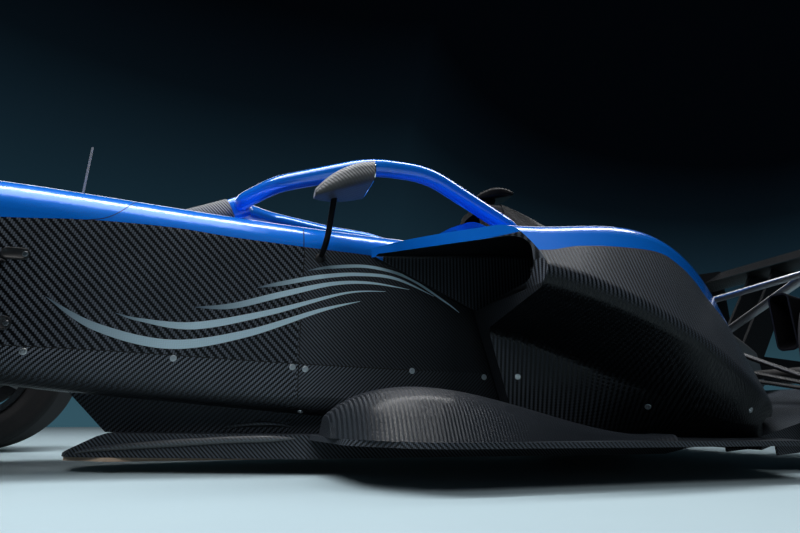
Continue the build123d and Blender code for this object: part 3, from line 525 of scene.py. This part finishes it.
# Lower edges of the blue: columns are station and height
TUB_EDGE = [(-0.25, 0.545), (0.0, 0.575), (0.35, 0.598), (0.62, 0.611), (0.90, 0.596), (1.18, 0.585),
            (1.33, 0.582), (1.45, 0.630), (1.9, 0.640)]
NOSE_EDGE = [(-1.08, 0.255), (-0.96, 0.282), (-0.64, 0.405), (-0.25, 0.545)]
POD_EDGE = [(1.20, 0.575), (1.40, 0.535), (1.53, 0.520), (1.70, 0.552), (1.85, 0.566), (1.956, 0.567),
            (2.009, 0.549), (2.067, 0.511), (2.12, 0.450), (2.30, 0.36), (2.60, 0.29)]
LIP_EDGE = [(1.20, 0.555), (1.30, 0.562), (1.45, 0.570), (1.55, 0.578), (1.64, 0.620)]
# Inner wall of the duct, which stays bare: columns are station and offset
DUCT_WALL = [(1.20, 0.270), (1.26, 0.280), (1.31, 0.310), (2.60, 0.312)]
# Upper edge of the lower panel on the cell: columns are station and height
PANEL_EDGE = [(0.30, 0.290), (0.59, 0.285), (0.82, 0.277), (1.06, 0.269), (1.40, 0.262)]


def dress(material, *names):
    """Gives CAD nodes their material."""
    for name in names:
        slots = nodes[name].data.materials
        slots.clear()
        slots.append(material)


def dress_nodes():
    """Material of every carried-over node."""
    dress(painted_carbon("tub_finish", TUB_EDGE), "monocoque")
    dress(painted_carbon("nose_finish", NOSE_EDGE), "nose_cone")
    dress(painted_carbon("pod_finish", POD_EDGE, on_cell=False), "sidepod_left", "sidepod_right")
    dress(blue_paint("gloss_blue"), "halo", "headrest", "front_wing_flaps")
    dress(carbon("carbon_satin"), "floor", "diffuser", "front_wing_mainplane", "front_wing_endplates",
          "seat")
    dress(carbon("carbon_bias", FAIRING_LIGHT, 0.5, True, FAIRING_DARK), "floor_fairings")
    dress(carbon("carbon_arms", ARM_LIGHT, 0.3), "front_upper_wishbones", "front_lower_wishbones",
          "rear_lower_wishbones")
    dress(carbon("carbon_black", COVER_LIGHT, 0.03), "roll_hoop", "engine_cover", "tail_structure")
    dress(carbon("carbon_wing", WING_LIGHT, 0.08), "rear_wing_mainplane", "rear_wing_flap",
          "rear_wing_endplates", "rear_wing_pylons")
    # Mirror housings: grey weave, paler with painted light
    dress(carbon("carbon_pale", MIRROR_PALE_AND_LIT, dark=MIRROR_DARK), "mirror_housings")
    dress(plank_wood("plank_board"), "skid_plank")
    dress(plastic("black_moulding", (0.003, 0.003, 0.004, 1), 0.40, 0.08), "camera_pod", "mirror_stalks",
          "rear_brake_ducts")
    dress(plastic("grey_aerial", (0.16, 0.17, 0.18, 1), 0.42), "aerial")
    dress(plastic("black_grip", (0.010, 0.010, 0.011, 1), 0.62), "steering_wheel")
    dress(glass_mirror("mirror_plate"), "mirror_glasses")
    dress(lamp_red("rain_lamp"), "rain_light")
    dress(cooler_core("cooler_fins"), "radiators")
    dress(metal("cast_alloy", (0.30, 0.30, 0.31, 1), 0.5), "engine", "gearbox")
    dress(metal("machined_alloy", (0.55, 0.56, 0.58, 1), 0.34), "upright_front_left",
          "upright_front_right", "rear_uprights", "rack_housing", "rear_upper_wishbones")
    dress(metal("ground_steel", (0.50, 0.51, 0.53, 1), 0.28, (1, 0.1, 1)), "steering_rack")
    dress(metal("black_steel", (0.060, 0.062, 0.066, 1), 0.42), "front_pushrods", "rear_pushrods")
    tread = rubber("tyre_rubber")
    for end in AXLES:
        for side in SIDES:
            dress(tread, f"tyre_{end}_{side}")
            dress(wheel_metal(f"wheel_{end}_{side}", end, side), f"rim_{end}_{side}")


def tree_of(*names):
    """Search tree over some nodes, to set pieces on their surface."""
    points, faces = [], []
    for name in names:
        mesh = nodes[name].data
        start = len(points)
        points.extend(vertex.co.copy() for vertex in mesh.vertices)
        faces.extend([start + index for index in face.vertices] for face in mesh.polygons)
    return BVHTree.FromPolygons(points, faces)


# Offset beside the car from which its flank is looked for
FLANK_REACH = 1.5


def on_flank(tree, station, height, side, lift):
    """Point on the car's flank seen from its side, lifted along the surface's normal."""
    start = Vector((at(station), side * FLANK_REACH, height))
    spot, normal, _, _ = tree.ray_cast(start, Vector((0, -side, 0)))
    if normal.y * side < 0:
        normal = -normal
    return spot + lift * normal, normal


def add_piece(name, form, material, body="car", smooth=True):
    """New object from a mesh under construction, riding on a body."""
    bmesh.ops.recalc_face_normals(form, faces=form.faces)
    mesh = bpy.data.meshes.new(name)
    form.to_mesh(mesh)
    form.free()
    piece = bpy.data.objects.new(name, mesh)
    bpy.context.scene.collection.objects.link(piece)
    mesh.materials.append(material)
    for face in mesh.polygons:
        face.use_smooth = smooth
    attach(piece, body)


def seat_at(spot, normal):
    """Placing of a small piece on a surface, its own Z along the normal and its Y upright."""
    return Matrix.Translation(spot) @ normal.to_track_quat("Z", "Y").to_matrix().to_4x4()


def skin_rings(form, rings):
    """Faces between rings of equal count, with the last ring closed."""
    for outer, inner in zip(rings, rings[1:]):
        for index in range(len(outer)):
            after = (index + 1) % len(outer)
            form.faces.new((outer[index], outer[after], inner[after], inner[index]))
    form.faces.new(rings[-1])


def lathe(form, seat, profile, hexagons=(), steps=24):
    """Turned piece from rows of radius and lift, some of them drawn as hexagons."""
    rings = []
    for row, (radius, lift) in enumerate(profile):
        ring = []
        for step in range(steps):
            angle = 2 * math.pi * step / steps
            reach = radius
            if row in hexagons:
                reach *= math.cos(math.pi / 6) / math.cos(angle % (math.pi / 3) - math.pi / 6)
            spot = Vector((reach * math.cos(angle), reach * math.sin(angle), lift))
            ring.append(form.verts.new(seat @ spot))
        rings.append(ring)
    skin_rings(form, rings)


# Least corner radius of a flat piece, and the steps round each corner
LEAST_CORNER = 0.0004
CORNER_STEPS = 6


def slab(form, seat, width, height, corner, profile):
    """Flat piece with round corners, from rows of inset and lift."""
    rings = []
    for inset, lift in profile:
        radius = max(corner - inset, LEAST_CORNER)
        across = width / 2 - inset - radius
        along = height / 2 - inset - radius
        ring = []
        for quarter, (right, top) in enumerate([(1, 1), (-1, 1), (-1, -1), (1, -1)]):
            for step in range(CORNER_STEPS + 1):
                angle = math.pi / 2 * (quarter + step / CORNER_STEPS)
                x = right * across + radius * math.cos(angle)
                y = top * along + radius * math.sin(angle)
                ring.append(form.verts.new(seat @ Vector((x, y, lift))))
        rings.append(ring)
    skin_rings(form, rings)


def through(points, t):
    """Smooth line through a row of points, at a share of its length in points."""
    last = len(points) - 1
    index = min(int(t * last), last - 1)
    share = t * last - index
    before, start = points[max(index - 1, 0)], points[index]
    end, after = points[index + 1], points[min(index + 2, last)]
    value = []
    for a, b, c, d in zip(before, start, end, after):
        bend = 2 * a - 5 * b + 4 * c - d + share * (3 * (b - c) + d - a)
        value.append(b + 0.5 * share * (c - a + share * bend))
    return value


# Share of a line over which its run is measured, to each side
RUN_SHARE = 0.01


def lay_skin(form, tree, side, line, steps, across):
    """Skin on the flank along a line of stations and heights. Across gives each row's shifts and lifts."""
    rows = []
    for step in range(steps + 1):
        share = step / steps
        station, height, *width = through(line, share)
        ahead = through(line, min(share + RUN_SHARE, 1.0))
        behind = through(line, max(share - RUN_SHARE, 0.0))
        run = Vector((ahead[0] - behind[0], ahead[1] - behind[1])).normalized()
        row = []
        for shift, lift in across(*width):
            spot, _ = on_flank(tree, station - shift * run.y, height + shift * run.x, side, lift)
            row.append(form.verts.new(spot))
        rows.append(row)
    for first, second in zip(rows, rows[1:]):
        for k in range(len(first) - 1):
            form.faces.new((first[k], first[k + 1], second[k + 1], second[k]))
    return rows


# Flank stripes: each point is a station, a height and the stripe's width there
STRIPES = [
    [(0.453, 0.408, 0.001), (0.572, 0.341, 0.018), (0.744, 0.306, 0.023), (0.919, 0.340, 0.019),
     (1.107, 0.413, 0.010), (1.216, 0.446, 0.001)],
    [(0.610, 0.377, 0.001), (0.668, 0.363, 0.008), (0.797, 0.355, 0.019), (0.977, 0.400, 0.015),
     (1.173, 0.466, 0.006), (1.288, 0.480, 0.001)],
    [(0.791, 0.402, 0.002), (0.881, 0.411, 0.015), (1.005, 0.451, 0.016), (1.137, 0.490, 0.011),
     (1.243, 0.501, 0.007), (1.359, 0.491, 0.001)],
    [(0.939, 0.464, 0.002), (1.003, 0.481, 0.012), (1.102, 0.507, 0.012), (1.207, 0.523, 0.010),
     (1.317, 0.520, 0.008), (1.435, 0.477, 0.001)],
    [(1.067, 0.522, 0.002), (1.135, 0.538, 0.009), (1.242, 0.548, 0.009), (1.354, 0.526, 0.008),
     (1.470, 0.463, 0.005), (1.514, 0.434, 0.001)],
]
STRIPE_STEPS = 60
STRIPE_ROWS = 3
STRIPE_LIFT = 0.0004
LEAST_WIDTH = 0.001
# Share of a stripe over which it fades in from the front, and how much weave shows through it
STRIPE_FADE = 0.4
STRIPE_WEAVE = 0.12


def stripe_paint():
    """Pale satin paint that fades into the weave towards the front."""
    shader = Shader("stripe_paint")
    fade = shader.node("Attribute", {"attribute_name": "fade"}).outputs["Fac"]
    colour = shader.mix(fade, STRIPE_DEEP, STRIPE_PALE)
    height, _ = twill(shader, COARSE_TOW)
    return shader.finish(
        {
            "Base Color": shader.mix(shader.math("MULTIPLY", height, STRIPE_WEAVE), colour, CARBON_DARK),
            "Roughness": 0.38,
            "Coat Weight": 0.3,
        }
    )


def stripe_row(width):
    """Shifts and lifts across a stripe."""
    reach = max(width, LEAST_WIDTH)
    return [((k / STRIPE_ROWS - 0.5) * reach, STRIPE_LIFT) for k in range(STRIPE_ROWS + 1)]


def add_stripes(flank):
    """Five swept stripes on each flank, thin skins that follow the surface."""
    paint = stripe_paint()
    for side_name, side in SIDES.items():
        form = bmesh.new()
        fade = form.verts.layers.float.new("fade")
        for stripe in STRIPES:
            rows = lay_skin(form, flank, side, stripe, STRIPE_STEPS, stripe_row)
            for step, row in enumerate(rows):
                for dot in row:
                    dot[fade] = min(1.0, step / STRIPE_STEPS / STRIPE_FADE)
        add_piece(f"flank_stripes_{side_name}", form, paint)


# Raised crests on the floor's tray and the keel: each point is a station, a height and the crest's width
CRESTS = [
    [(0.553, 0.047, 0.004), (0.600, 0.056, 0.012), (0.746, 0.069, 0.018), (0.900, 0.080, 0.018),
     (1.000, 0.0835, 0.016), (1.060, 0.0845, 0.003)],
    [(0.890, 0.107, 0.003), (0.969, 0.117, 0.014), (1.020, 0.1165, 0.012), (1.066, 0.110, 0.003)],
]
# Rise of a crest as a share of its width
CREST_RISE = 0.36
CREST_STEPS = 48
CREST_ROWS = 10


def crest_row(width):
    """Shifts and lifts across a crest, half an ellipse."""
    angles = [math.pi * (k / CREST_ROWS - 0.5) for k in range(CREST_ROWS + 1)]
    return [(width / 2 * math.sin(angle), CREST_RISE * width * math.cos(angle)) for angle in angles]


def add_crests(tray):
    """Raised crests that catch the light along the tray and the keel, on both sides."""
    lacquered = carbon("carbon_crest", gloss=1.0)
    for side_name, side in SIDES.items():
        form = bmesh.new()
        for crest in CRESTS:
            lay_skin(form, tray, side, crest, CREST_STEPS, crest_row)
        add_piece(f"floor_crests_{side_name}", form, lacquered)


# Panel screws: columns are station and height on the flank
SCREWS = [
    (0.431, 0.276), (0.756, 0.272), (1.045, 0.260), (1.078, 0.256), (1.076, 0.149), (1.369, 0.261),
    (1.588, 0.251), (1.653, 0.249), (1.945, 0.171), (2.191, 0.165),
]
SCREW_LIFT = 0.0001
# Screw's head: rows of radius and lift
SCREW = [
    (0.0081, 0.0),
    (0.0075, 0.0005),
    (0.0066, 0.0004),
    (0.0062, 0.0010),
    (0.0033, 0.0012),
    (0.0031, 0.0002),
]


def add_screws(flank):
    """Countersunk screws that hold the flank's panels, on both sides."""
    steel = metal("screw_steel", (0.72, 0.73, 0.75, 1), 0.38)
    for side_name, side in SIDES.items():
        form = bmesh.new()
        for station, height in SCREWS:
            seat = seat_at(*on_flank(flank, station, height, side, SCREW_LIFT))
            lathe(form, seat, SCREW, hexagons=(5,))
        add_piece(f"panel_screws_{side_name}", form, steel, smooth=False)


# Panel joints: each is a row of stations and heights on the flank
JOINTS = [
    PANEL_EDGE,
    [(1.055, 0.580), (1.060, 0.269), (1.064, 0.175)],
    [(0.608, 0.690), (0.600, 0.672), (0.588, 0.650), (0.570, 0.630), (0.545, 0.616), (0.500, 0.606)],
    [(1.052, 0.588), (1.050, 0.650)],
]
JOINT_WIDTH = 0.0022
JOINT_LIFT = 0.0003
JOINT_STEPS = 48


def joint_row():
    """Shifts and lifts across a joint."""
    return [(shift, JOINT_LIFT) for shift in (-JOINT_WIDTH / 2, JOINT_WIDTH / 2)]


def add_joints(flank):
    """Dark gaps between the flank's panels."""
    dark = plastic("joint_gap", (0.002, 0.002, 0.002, 1), 0.8)
    for side_name, side in SIDES.items():
        form = bmesh.new()
        for joint in JOINTS:
            lay_skin(form, flank, side, joint, JOINT_STEPS, joint_row)
        add_piece(f"panel_joints_{side_name}", form, dark)


# Wishbone pickups on the flank: columns are station, height, plate's width and depth, bolt's station
PICKUPS = [(0.372, 0.508, 0.062, 0.030, 0.394), (0.378, 0.340, 0.034, 0.034, 0.385)]
# Plate's corner as a share of its depth, and its rows of inset and lift
PLATE_CORNER = 0.48
PLATE = [(0.0, 0.0), (0.0004, 0.0018), (0.0016, 0.0024), (0.0045, 0.0024), (0.0055, 0.0012)]
# Bolt's lift on its plate, and its rows of radius and lift
BOLT_LIFT = 0.001
BOLT = [(0.0066, 0.0), (0.0065, 0.0026), (0.0058, 0.0032), (0.0038, 0.0032), (0.0034, 0.0006)]


def add_pickups(flank):
    """Dark cover plates over the wishbones' pickups, with their bolts."""
    black = plastic("pickup_cover", (0.006, 0.006, 0.007, 1), 0.5)
    steel = metal("bolt_steel", (0.30, 0.31, 0.33, 1), 0.4)
    for side_name, side in SIDES.items():
        plates, bolts = bmesh.new(), bmesh.new()
        for station, height, width, depth, bolt_station in PICKUPS:
            seat = seat_at(*on_flank(flank, station, height, side, 0.0))
            slab(plates, seat, width, depth, PLATE_CORNER * depth, PLATE)
            seat = seat_at(*on_flank(flank, bolt_station, height, side, BOLT_LIFT))
            lathe(bolts, seat, BOLT, hexagons=(4,))
        add_piece(f"pickup_plates_{side_name}", plates, black)
        add_piece(f"pickup_bolts_{side_name}", bolts, steel, smooth=False)


# Mirror arm's root on the cell: station, offset and height, then the arm's run from there
STALK_ROOT = (1.1003, 0.258, 0.561)
STALK_RUN = (-0.002, 0.112, 0.030)
# Boot: rows of radius and lift
BOOT = [(0.017, 0.0), (0.0165, 0.005), (0.014, 0.010), (0.0105, 0.0135), (0.0092, 0.020)]


def add_boots():
    """Rubber boots round the feet of the mirrors' arms."""
    black = rubber("boot_rubber")
    station, offset, height = STALK_ROOT
    for side_name, side in SIDES.items():
        form = bmesh.new()
        run = Vector((STALK_RUN[0], side * STALK_RUN[1], STALK_RUN[2])).normalized()
        lathe(form, seat_at(Vector((at(station), side * offset, height)), run), BOOT)
        add_piece(f"mirror_boot_{side_name}", form, black)


# Halo's pillar: station and height of its foot and head, its chord and width
PILLAR_FOOT = (0.610, 0.660)
PILLAR_HEAD = (0.888, 0.800)
PILLAR_CHORD = 0.074
PILLAR_WIDTH = 0.034
# Sleeve round it: columns are the distance up the pillar and the growth there
SLEEVE = [
    (0.050, 0.016),
    (0.085, 0.011),
    (0.120, 0.008),
    (0.190, 0.0055),
    (0.257, 0.0035),
    (0.260, 0.0005),
]
SLEEVE_STEPS = 48


def add_sleeve():
    """Carbon sleeve round the foot of the halo's pillar."""
    foot = Vector((at(PILLAR_FOOT[0]), 0, PILLAR_FOOT[1]))
    run = (Vector((at(PILLAR_HEAD[0]), 0, PILLAR_HEAD[1])) - foot).normalized()
    level = (Vector((1, 0, 0)) - run * run.x).normalized()
    form = bmesh.new()
    rings = []
    for reach, growth in SLEEVE:
        ring = []
        for step in range(SLEEVE_STEPS):
            angle = 2 * math.pi * step / SLEEVE_STEPS
            along = (PILLAR_CHORD / 2 + growth) * math.cos(angle)
            across = (PILLAR_WIDTH / 2 + growth) * math.sin(angle)
            ring.append(form.verts.new(foot + reach * run + along * level + Vector((0, across, 0))))
        rings.append(ring)
    skin_rings(form, rings)
    # The sleeve's pale weave is partly painted highlight
    add_piece("halo_sleeve", form, carbon("carbon_sleeve", SLEEVE_PALE_AND_LIT))


# Steering wheel's middle and tilt, and the height of its face over that middle
WHEEL_MIDDLE = (1.060, 0.548)
COLUMN_TILT = 14.0
WHEEL_FACE = 0.013
# Display and right paddle: place across, up and over the middle, then width, height and corner
DISPLAY_PLACE = (0.0, 0.022, WHEEL_FACE)
DISPLAY_SIZE = (0.092, 0.056, 0.008)
PADDLE_PLACE = (0.078, 0.012, -0.024)
PADDLE_SIZE = (0.070, 0.040, 0.014)
# Rows of inset and lift, and for the turned pieces rows of a share of the radius and lift
PADDLE = [(0.0, -0.0035), (0.0, 0.0), (0.0008, 0.0006)]
DISPLAY = [(0.0, 0.0), (0.0, 0.0040), (0.0012, 0.0052), (0.0050, 0.0052), (0.0056, 0.0046)]
BUTTON = [(1.25, 0.0), (1.25, 0.0014), (1.1, 0.0020), (1.0, 0.0018), (1.0, 0.0052), (0.85, 0.0062)]
DIAL = [(1.0, 0.0), (1.0, 0.0060), (0.9, 0.0072), (0.62, 0.0072), (0.56, 0.0120), (0.40, 0.0128)]
# Controls on its face: columns are colour, place across and up, radius
BUTTONS = [
    ("red", -0.056, 0.050, 0.0070),
    ("green", 0.056, 0.050, 0.0070),
    ("blue", -0.054, 0.026, 0.0065),
    ("yellow", 0.054, 0.026, 0.0065),
    ("yellow", -0.054, -0.044, 0.0065),
    ("blue", 0.054, -0.044, 0.0065),
]
# Dials: columns are place across and up, radius
DIALS = [(-0.030, -0.030, 0.012), (0.0, -0.036, 0.012), (0.030, -0.030, 0.012)]
BUTTON_COLOURS = {
    "red": (0.52, 0.020, 0.016, 1),
    "green": (0.020, 0.30, 0.060, 1),
    "blue": (0.012, 0.10, 0.45, 1),
    "yellow": (0.60, 0.40, 0.020, 1),
}


def wheel_spot(across, up, lift):
    """Placing on the steering wheel, with its Z towards the driver."""
    tilt = math.radians(COLUMN_TILT)
    right = Vector((0, -1, 0))
    rise = Vector((math.sin(tilt), 0, math.cos(tilt)))
    out = Vector((-math.cos(tilt), 0, math.sin(tilt)))
    spot = Vector((at(WHEEL_MIDDLE[0]), 0, WHEEL_MIDDLE[1])) + across * right + up * rise + lift * out
    return Matrix.Translation(spot) @ Matrix((right, rise, out)).transposed().to_4x4()


def add_wheel_controls():
    """Blank display, dials, buttons and shift paddles on the steering wheel."""
    body = "steering_wheel"
    display, dials, paddles = bmesh.new(), bmesh.new(), bmesh.new()
    slab(display, wheel_spot(*DISPLAY_PLACE), *DISPLAY_SIZE, DISPLAY)
    for across, up, radius in DIALS:
        rows = [(radius * share, lift) for share, lift in DIAL]
        lathe(dials, wheel_spot(across, up, WHEEL_FACE), rows, hexagons=(3, 4))
    for side in (-1, 1):
        across, up, lift = PADDLE_PLACE
        slab(paddles, wheel_spot(side * across, up, lift), *PADDLE_SIZE, PADDLE)
    glass = plastic("display_glass", (0.004, 0.005, 0.007, 1), 0.08)
    black = plastic("dial_plastic", (0.012, 0.012, 0.013, 1), 0.4)
    add_piece("wheel_display", display, glass, body)
    add_piece("wheel_dials", dials, black, body, smooth=False)
    add_piece("shift_paddles", paddles, carbon("carbon_paddle"), body)
    for colour, shade in BUTTON_COLOURS.items():
        form = bmesh.new()
        for name, across, up, radius in BUTTONS:
            if name == colour:
                rows = [(radius * share, lift) for share, lift in BUTTON]
                lathe(form, wheel_spot(across, up, WHEEL_FACE), rows)
        cap = plastic(f"button_{colour}", shade, 0.35)
        add_piece(f"wheel_buttons_{colour}", form, cap, body)


# Wheel nut: reach of its face from the wheel's middle, and the rows of its turned cap
NUT_REACH = 0.090
NUT_CAP = [(0.0318, 0.0), (0.0310, 0.0030), (0.0260, 0.0036), (0.0225, 0.0036), (0.0215, 0.0006)]
NUT_COLOURS = {"left": (0.020, 0.060, 0.30, 1), "right": (0.32, 0.020, 0.018, 1)}


def add_nut_caps():
    """Caps with a hexagon drive on the wheel nuts."""
    for side_name, side in SIDES.items():
        alloy = metal(f"nut_{side_name}", NUT_COLOURS[side_name], 0.3)
        for end, axle in AXLES.items():
            form = bmesh.new()
            spot = Vector((at(axle["station"]), side * (axle["offset"] + NUT_REACH), axle["radius"]))
            lathe(form, seat_at(spot, Vector((0, side, 0))), NUT_CAP, hexagons=(3, 4))
            place = f"{end}_{side_name}"
            add_piece(f"nut_cap_{place}", form, alloy, f"wheel_{place}", smooth=False)


def add_camera():
    """Camera at the photograph's place."""
    yaw, pitch, roll = (math.radians(value) for value in (CAMERA_YAW, CAMERA_PITCH, CAMERA_ROLL))
    level = Vector((-math.sin(yaw), -math.cos(yaw), 0))
    right = Vector((-math.cos(yaw), math.sin(yaw), 0))
    up = Vector((0, 0, 1))
    forward = math.cos(pitch) * level + math.sin(pitch) * up
    upward = -math.sin(pitch) * level + math.cos(pitch) * up
    rolled_right = math.cos(roll) * right + math.sin(roll) * upward
    rolled_up = -math.sin(roll) * right + math.cos(roll) * upward
    turn = Matrix((rolled_right, rolled_up, -forward)).transposed().to_4x4()
    data = bpy.data.cameras.new("photo_view")
    data.sensor_width = SENSOR_WIDTH
    data.lens = CAMERA_LENS
    data.clip_start = CLIP_START
    camera = bpy.data.objects.new("photo_view", data)
    camera.matrix_world = Matrix.Translation((at(CAMERA_STATION), CAMERA_OFFSET, CAMERA_HEIGHT)) @ turn
    bpy.context.scene.collection.objects.link(camera)
    bpy.context.scene.camera = camera


FLOOR_RADIUS = 5.0
FLOOR_SEGMENTS = 128
# Floor's two pale tones, and its colour for the light that it throws back on the car
FLOOR_TONES = ((0.45, 0.59, 0.655, 1), (0.49, 0.63, 0.69, 1))
FLOOR_BOUNCE = (0.10, 0.12, 0.13, 1)


def add_floor():
    """Round pale floor."""
    form = bmesh.new()
    bmesh.ops.create_circle(form, cap_ends=True, radius=FLOOR_RADIUS, segments=FLOOR_SEGMENTS)
    mesh = bpy.data.meshes.new("floor_disc")
    form.to_mesh(mesh)
    form.free()
    floor = bpy.data.objects.new("studio_floor", mesh)
    bpy.context.scene.collection.objects.link(floor)
    shader = Shader("floor_pale")
    pale = shader.mix(shader.noise(3.0), *FLOOR_TONES)
    path = shader.node("LightPath").outputs
    seen = shader.math("MAXIMUM", path["Is Camera Ray"], path["Is Glossy Ray"])
    seen = shader.math("MAXIMUM", seen, path["Is Transmission Ray"])
    colour = shader.mix(seen, FLOOR_BOUNCE, pale)
    mesh.materials.append(shader.finish({"Base Color": colour, "Roughness": 0.5}))


# Softboxes: columns are name, place, aim, width along the car, depth, power in watts, whether gloss shows it
LAMPS = [
    ("overhead", (0.0, 0.1, 3.0), (0.0, 0.1, 0.0), 6.0, 0.34, 125.0, True),
    ("front_box", (1.7, 0.95, 3.0), (1.7, 0.9, 0.0), 2.6, 1.2, 40.0, True),
    ("left_fill", (1.2, 3.6, 3.3), (0.0, 0.2, 0.35), 3.0, 1.6, 52.0, False),
    ("right_rim", (-0.4, -2.6, 2.6), (0.0, 0.0, 0.5), 6.0, 0.4, 22.0, True),
]

# Backdrop: columns are the height of a direction and the colour there
BACKDROP = [
    (0.0, (0.032, 0.085, 0.115, 1)),
    (0.20, (0.017, 0.047, 0.064, 1)),
    (0.30, (0.008, 0.024, 0.037, 1)),
    (0.45, (0.0045, 0.012, 0.019, 1)),
    (0.55, (0.0018, 0.0042, 0.0068, 1)),
    (0.68, (0.0005, 0.0010, 0.0018, 1)),
]
# Directions along the car between which the backdrop's heights are stretched, and by how much at each
BACKDROP_TURN = (-0.78, -0.28)
BACKDROP_STRETCH = (1.75, 1.0)
AMBIENT = (0.040, 0.045, 0.050, 1)


def backdrop(tree):
    """Plain dark backdrop, lighter near the floor, and dark from lower down towards the car's rear."""
    direction = tree.nodes.new("ShaderNodeTexCoord")
    split = tree.nodes.new("ShaderNodeSeparateXYZ")
    tree.links.new(direction.outputs["Generated"], split.inputs[0])
    steep = tree.nodes.new("ShaderNodeMapRange")
    for socket, value in zip(steep.inputs[1:5], BACKDROP_TURN + BACKDROP_STRETCH):
        socket.default_value = value
    tree.links.new(split.outputs[0], steep.inputs[0])
    height = tree.nodes.new("ShaderNodeMath")
    height.operation = "MULTIPLY"
    tree.links.new(split.outputs[2], height.inputs[0])
    tree.links.new(steep.outputs[0], height.inputs[1])
    ramp = tree.nodes.new("ShaderNodeValToRGB")
    tree.links.new(height.outputs[0], ramp.inputs[0])
    stops = ramp.color_ramp.elements
    while len(stops) < len(BACKDROP):
        stops.new(0.5)
    for stop, (level, colour) in zip(stops, BACKDROP):
        stop.position = level
        stop.color = colour
    return ramp.outputs[0]


def add_lamps():
    """Soft studio lamps."""
    for name, place, aim, width, depth, power, in_gloss in LAMPS:
        data = bpy.data.lights.new(name, "AREA")
        data.shape = "RECTANGLE"
        data.size = width
        data.size_y = depth
        data.energy = power
        lamp = bpy.data.objects.new(name, data)
        lamp.location = place
        lamp.rotation_euler = (Vector(aim) - Vector(place)).to_track_quat("-Z", "Y").to_euler()
        lamp.visible_glossy = in_gloss
        bpy.context.scene.collection.objects.link(lamp)


def add_world():
    """Dark plain backdrop that camera, gloss and glass see, and a faint ambient light for the rest."""
    world = bpy.data.worlds.new("studio")
    bpy.context.scene.world = world
    world.use_nodes = True
    tree = world.node_tree
    background = tree.nodes["Background"]
    path = tree.nodes.new("ShaderNodeLightPath")
    seen = path.outputs["Is Camera Ray"]
    for name in ("Is Glossy Ray", "Is Transmission Ray"):
        either = tree.nodes.new("ShaderNodeMath")
        either.operation = "MAXIMUM"
        tree.links.new(seen, either.inputs[0])
        tree.links.new(path.outputs[name], either.inputs[1])
        seen = either.outputs[0]
    mix = tree.nodes.new("ShaderNodeMix")
    mix.data_type = "RGBA"
    tree.links.new(seen, mix.inputs[0])
    mix.inputs[6].default_value = AMBIENT
    tree.links.new(backdrop(tree), mix.inputs[7])
    tree.links.new(mix.outputs[2], background.inputs["Color"])


add_camera()
dress_nodes()
flank_tree = tree_of("monocoque")
add_stripes(flank_tree)
add_joints(flank_tree)
add_crests(tree_of("floor", "monocoque"))
add_screws(tree_of("monocoque", "sidepod_left", "sidepod_right"))
add_pickups(flank_tree)
add_boots()
add_sleeve()
add_wheel_controls()
add_nut_caps()
add_floor()
add_lamps()
add_world()
bpy.context.scene.view_settings.view_transform = "Standard"
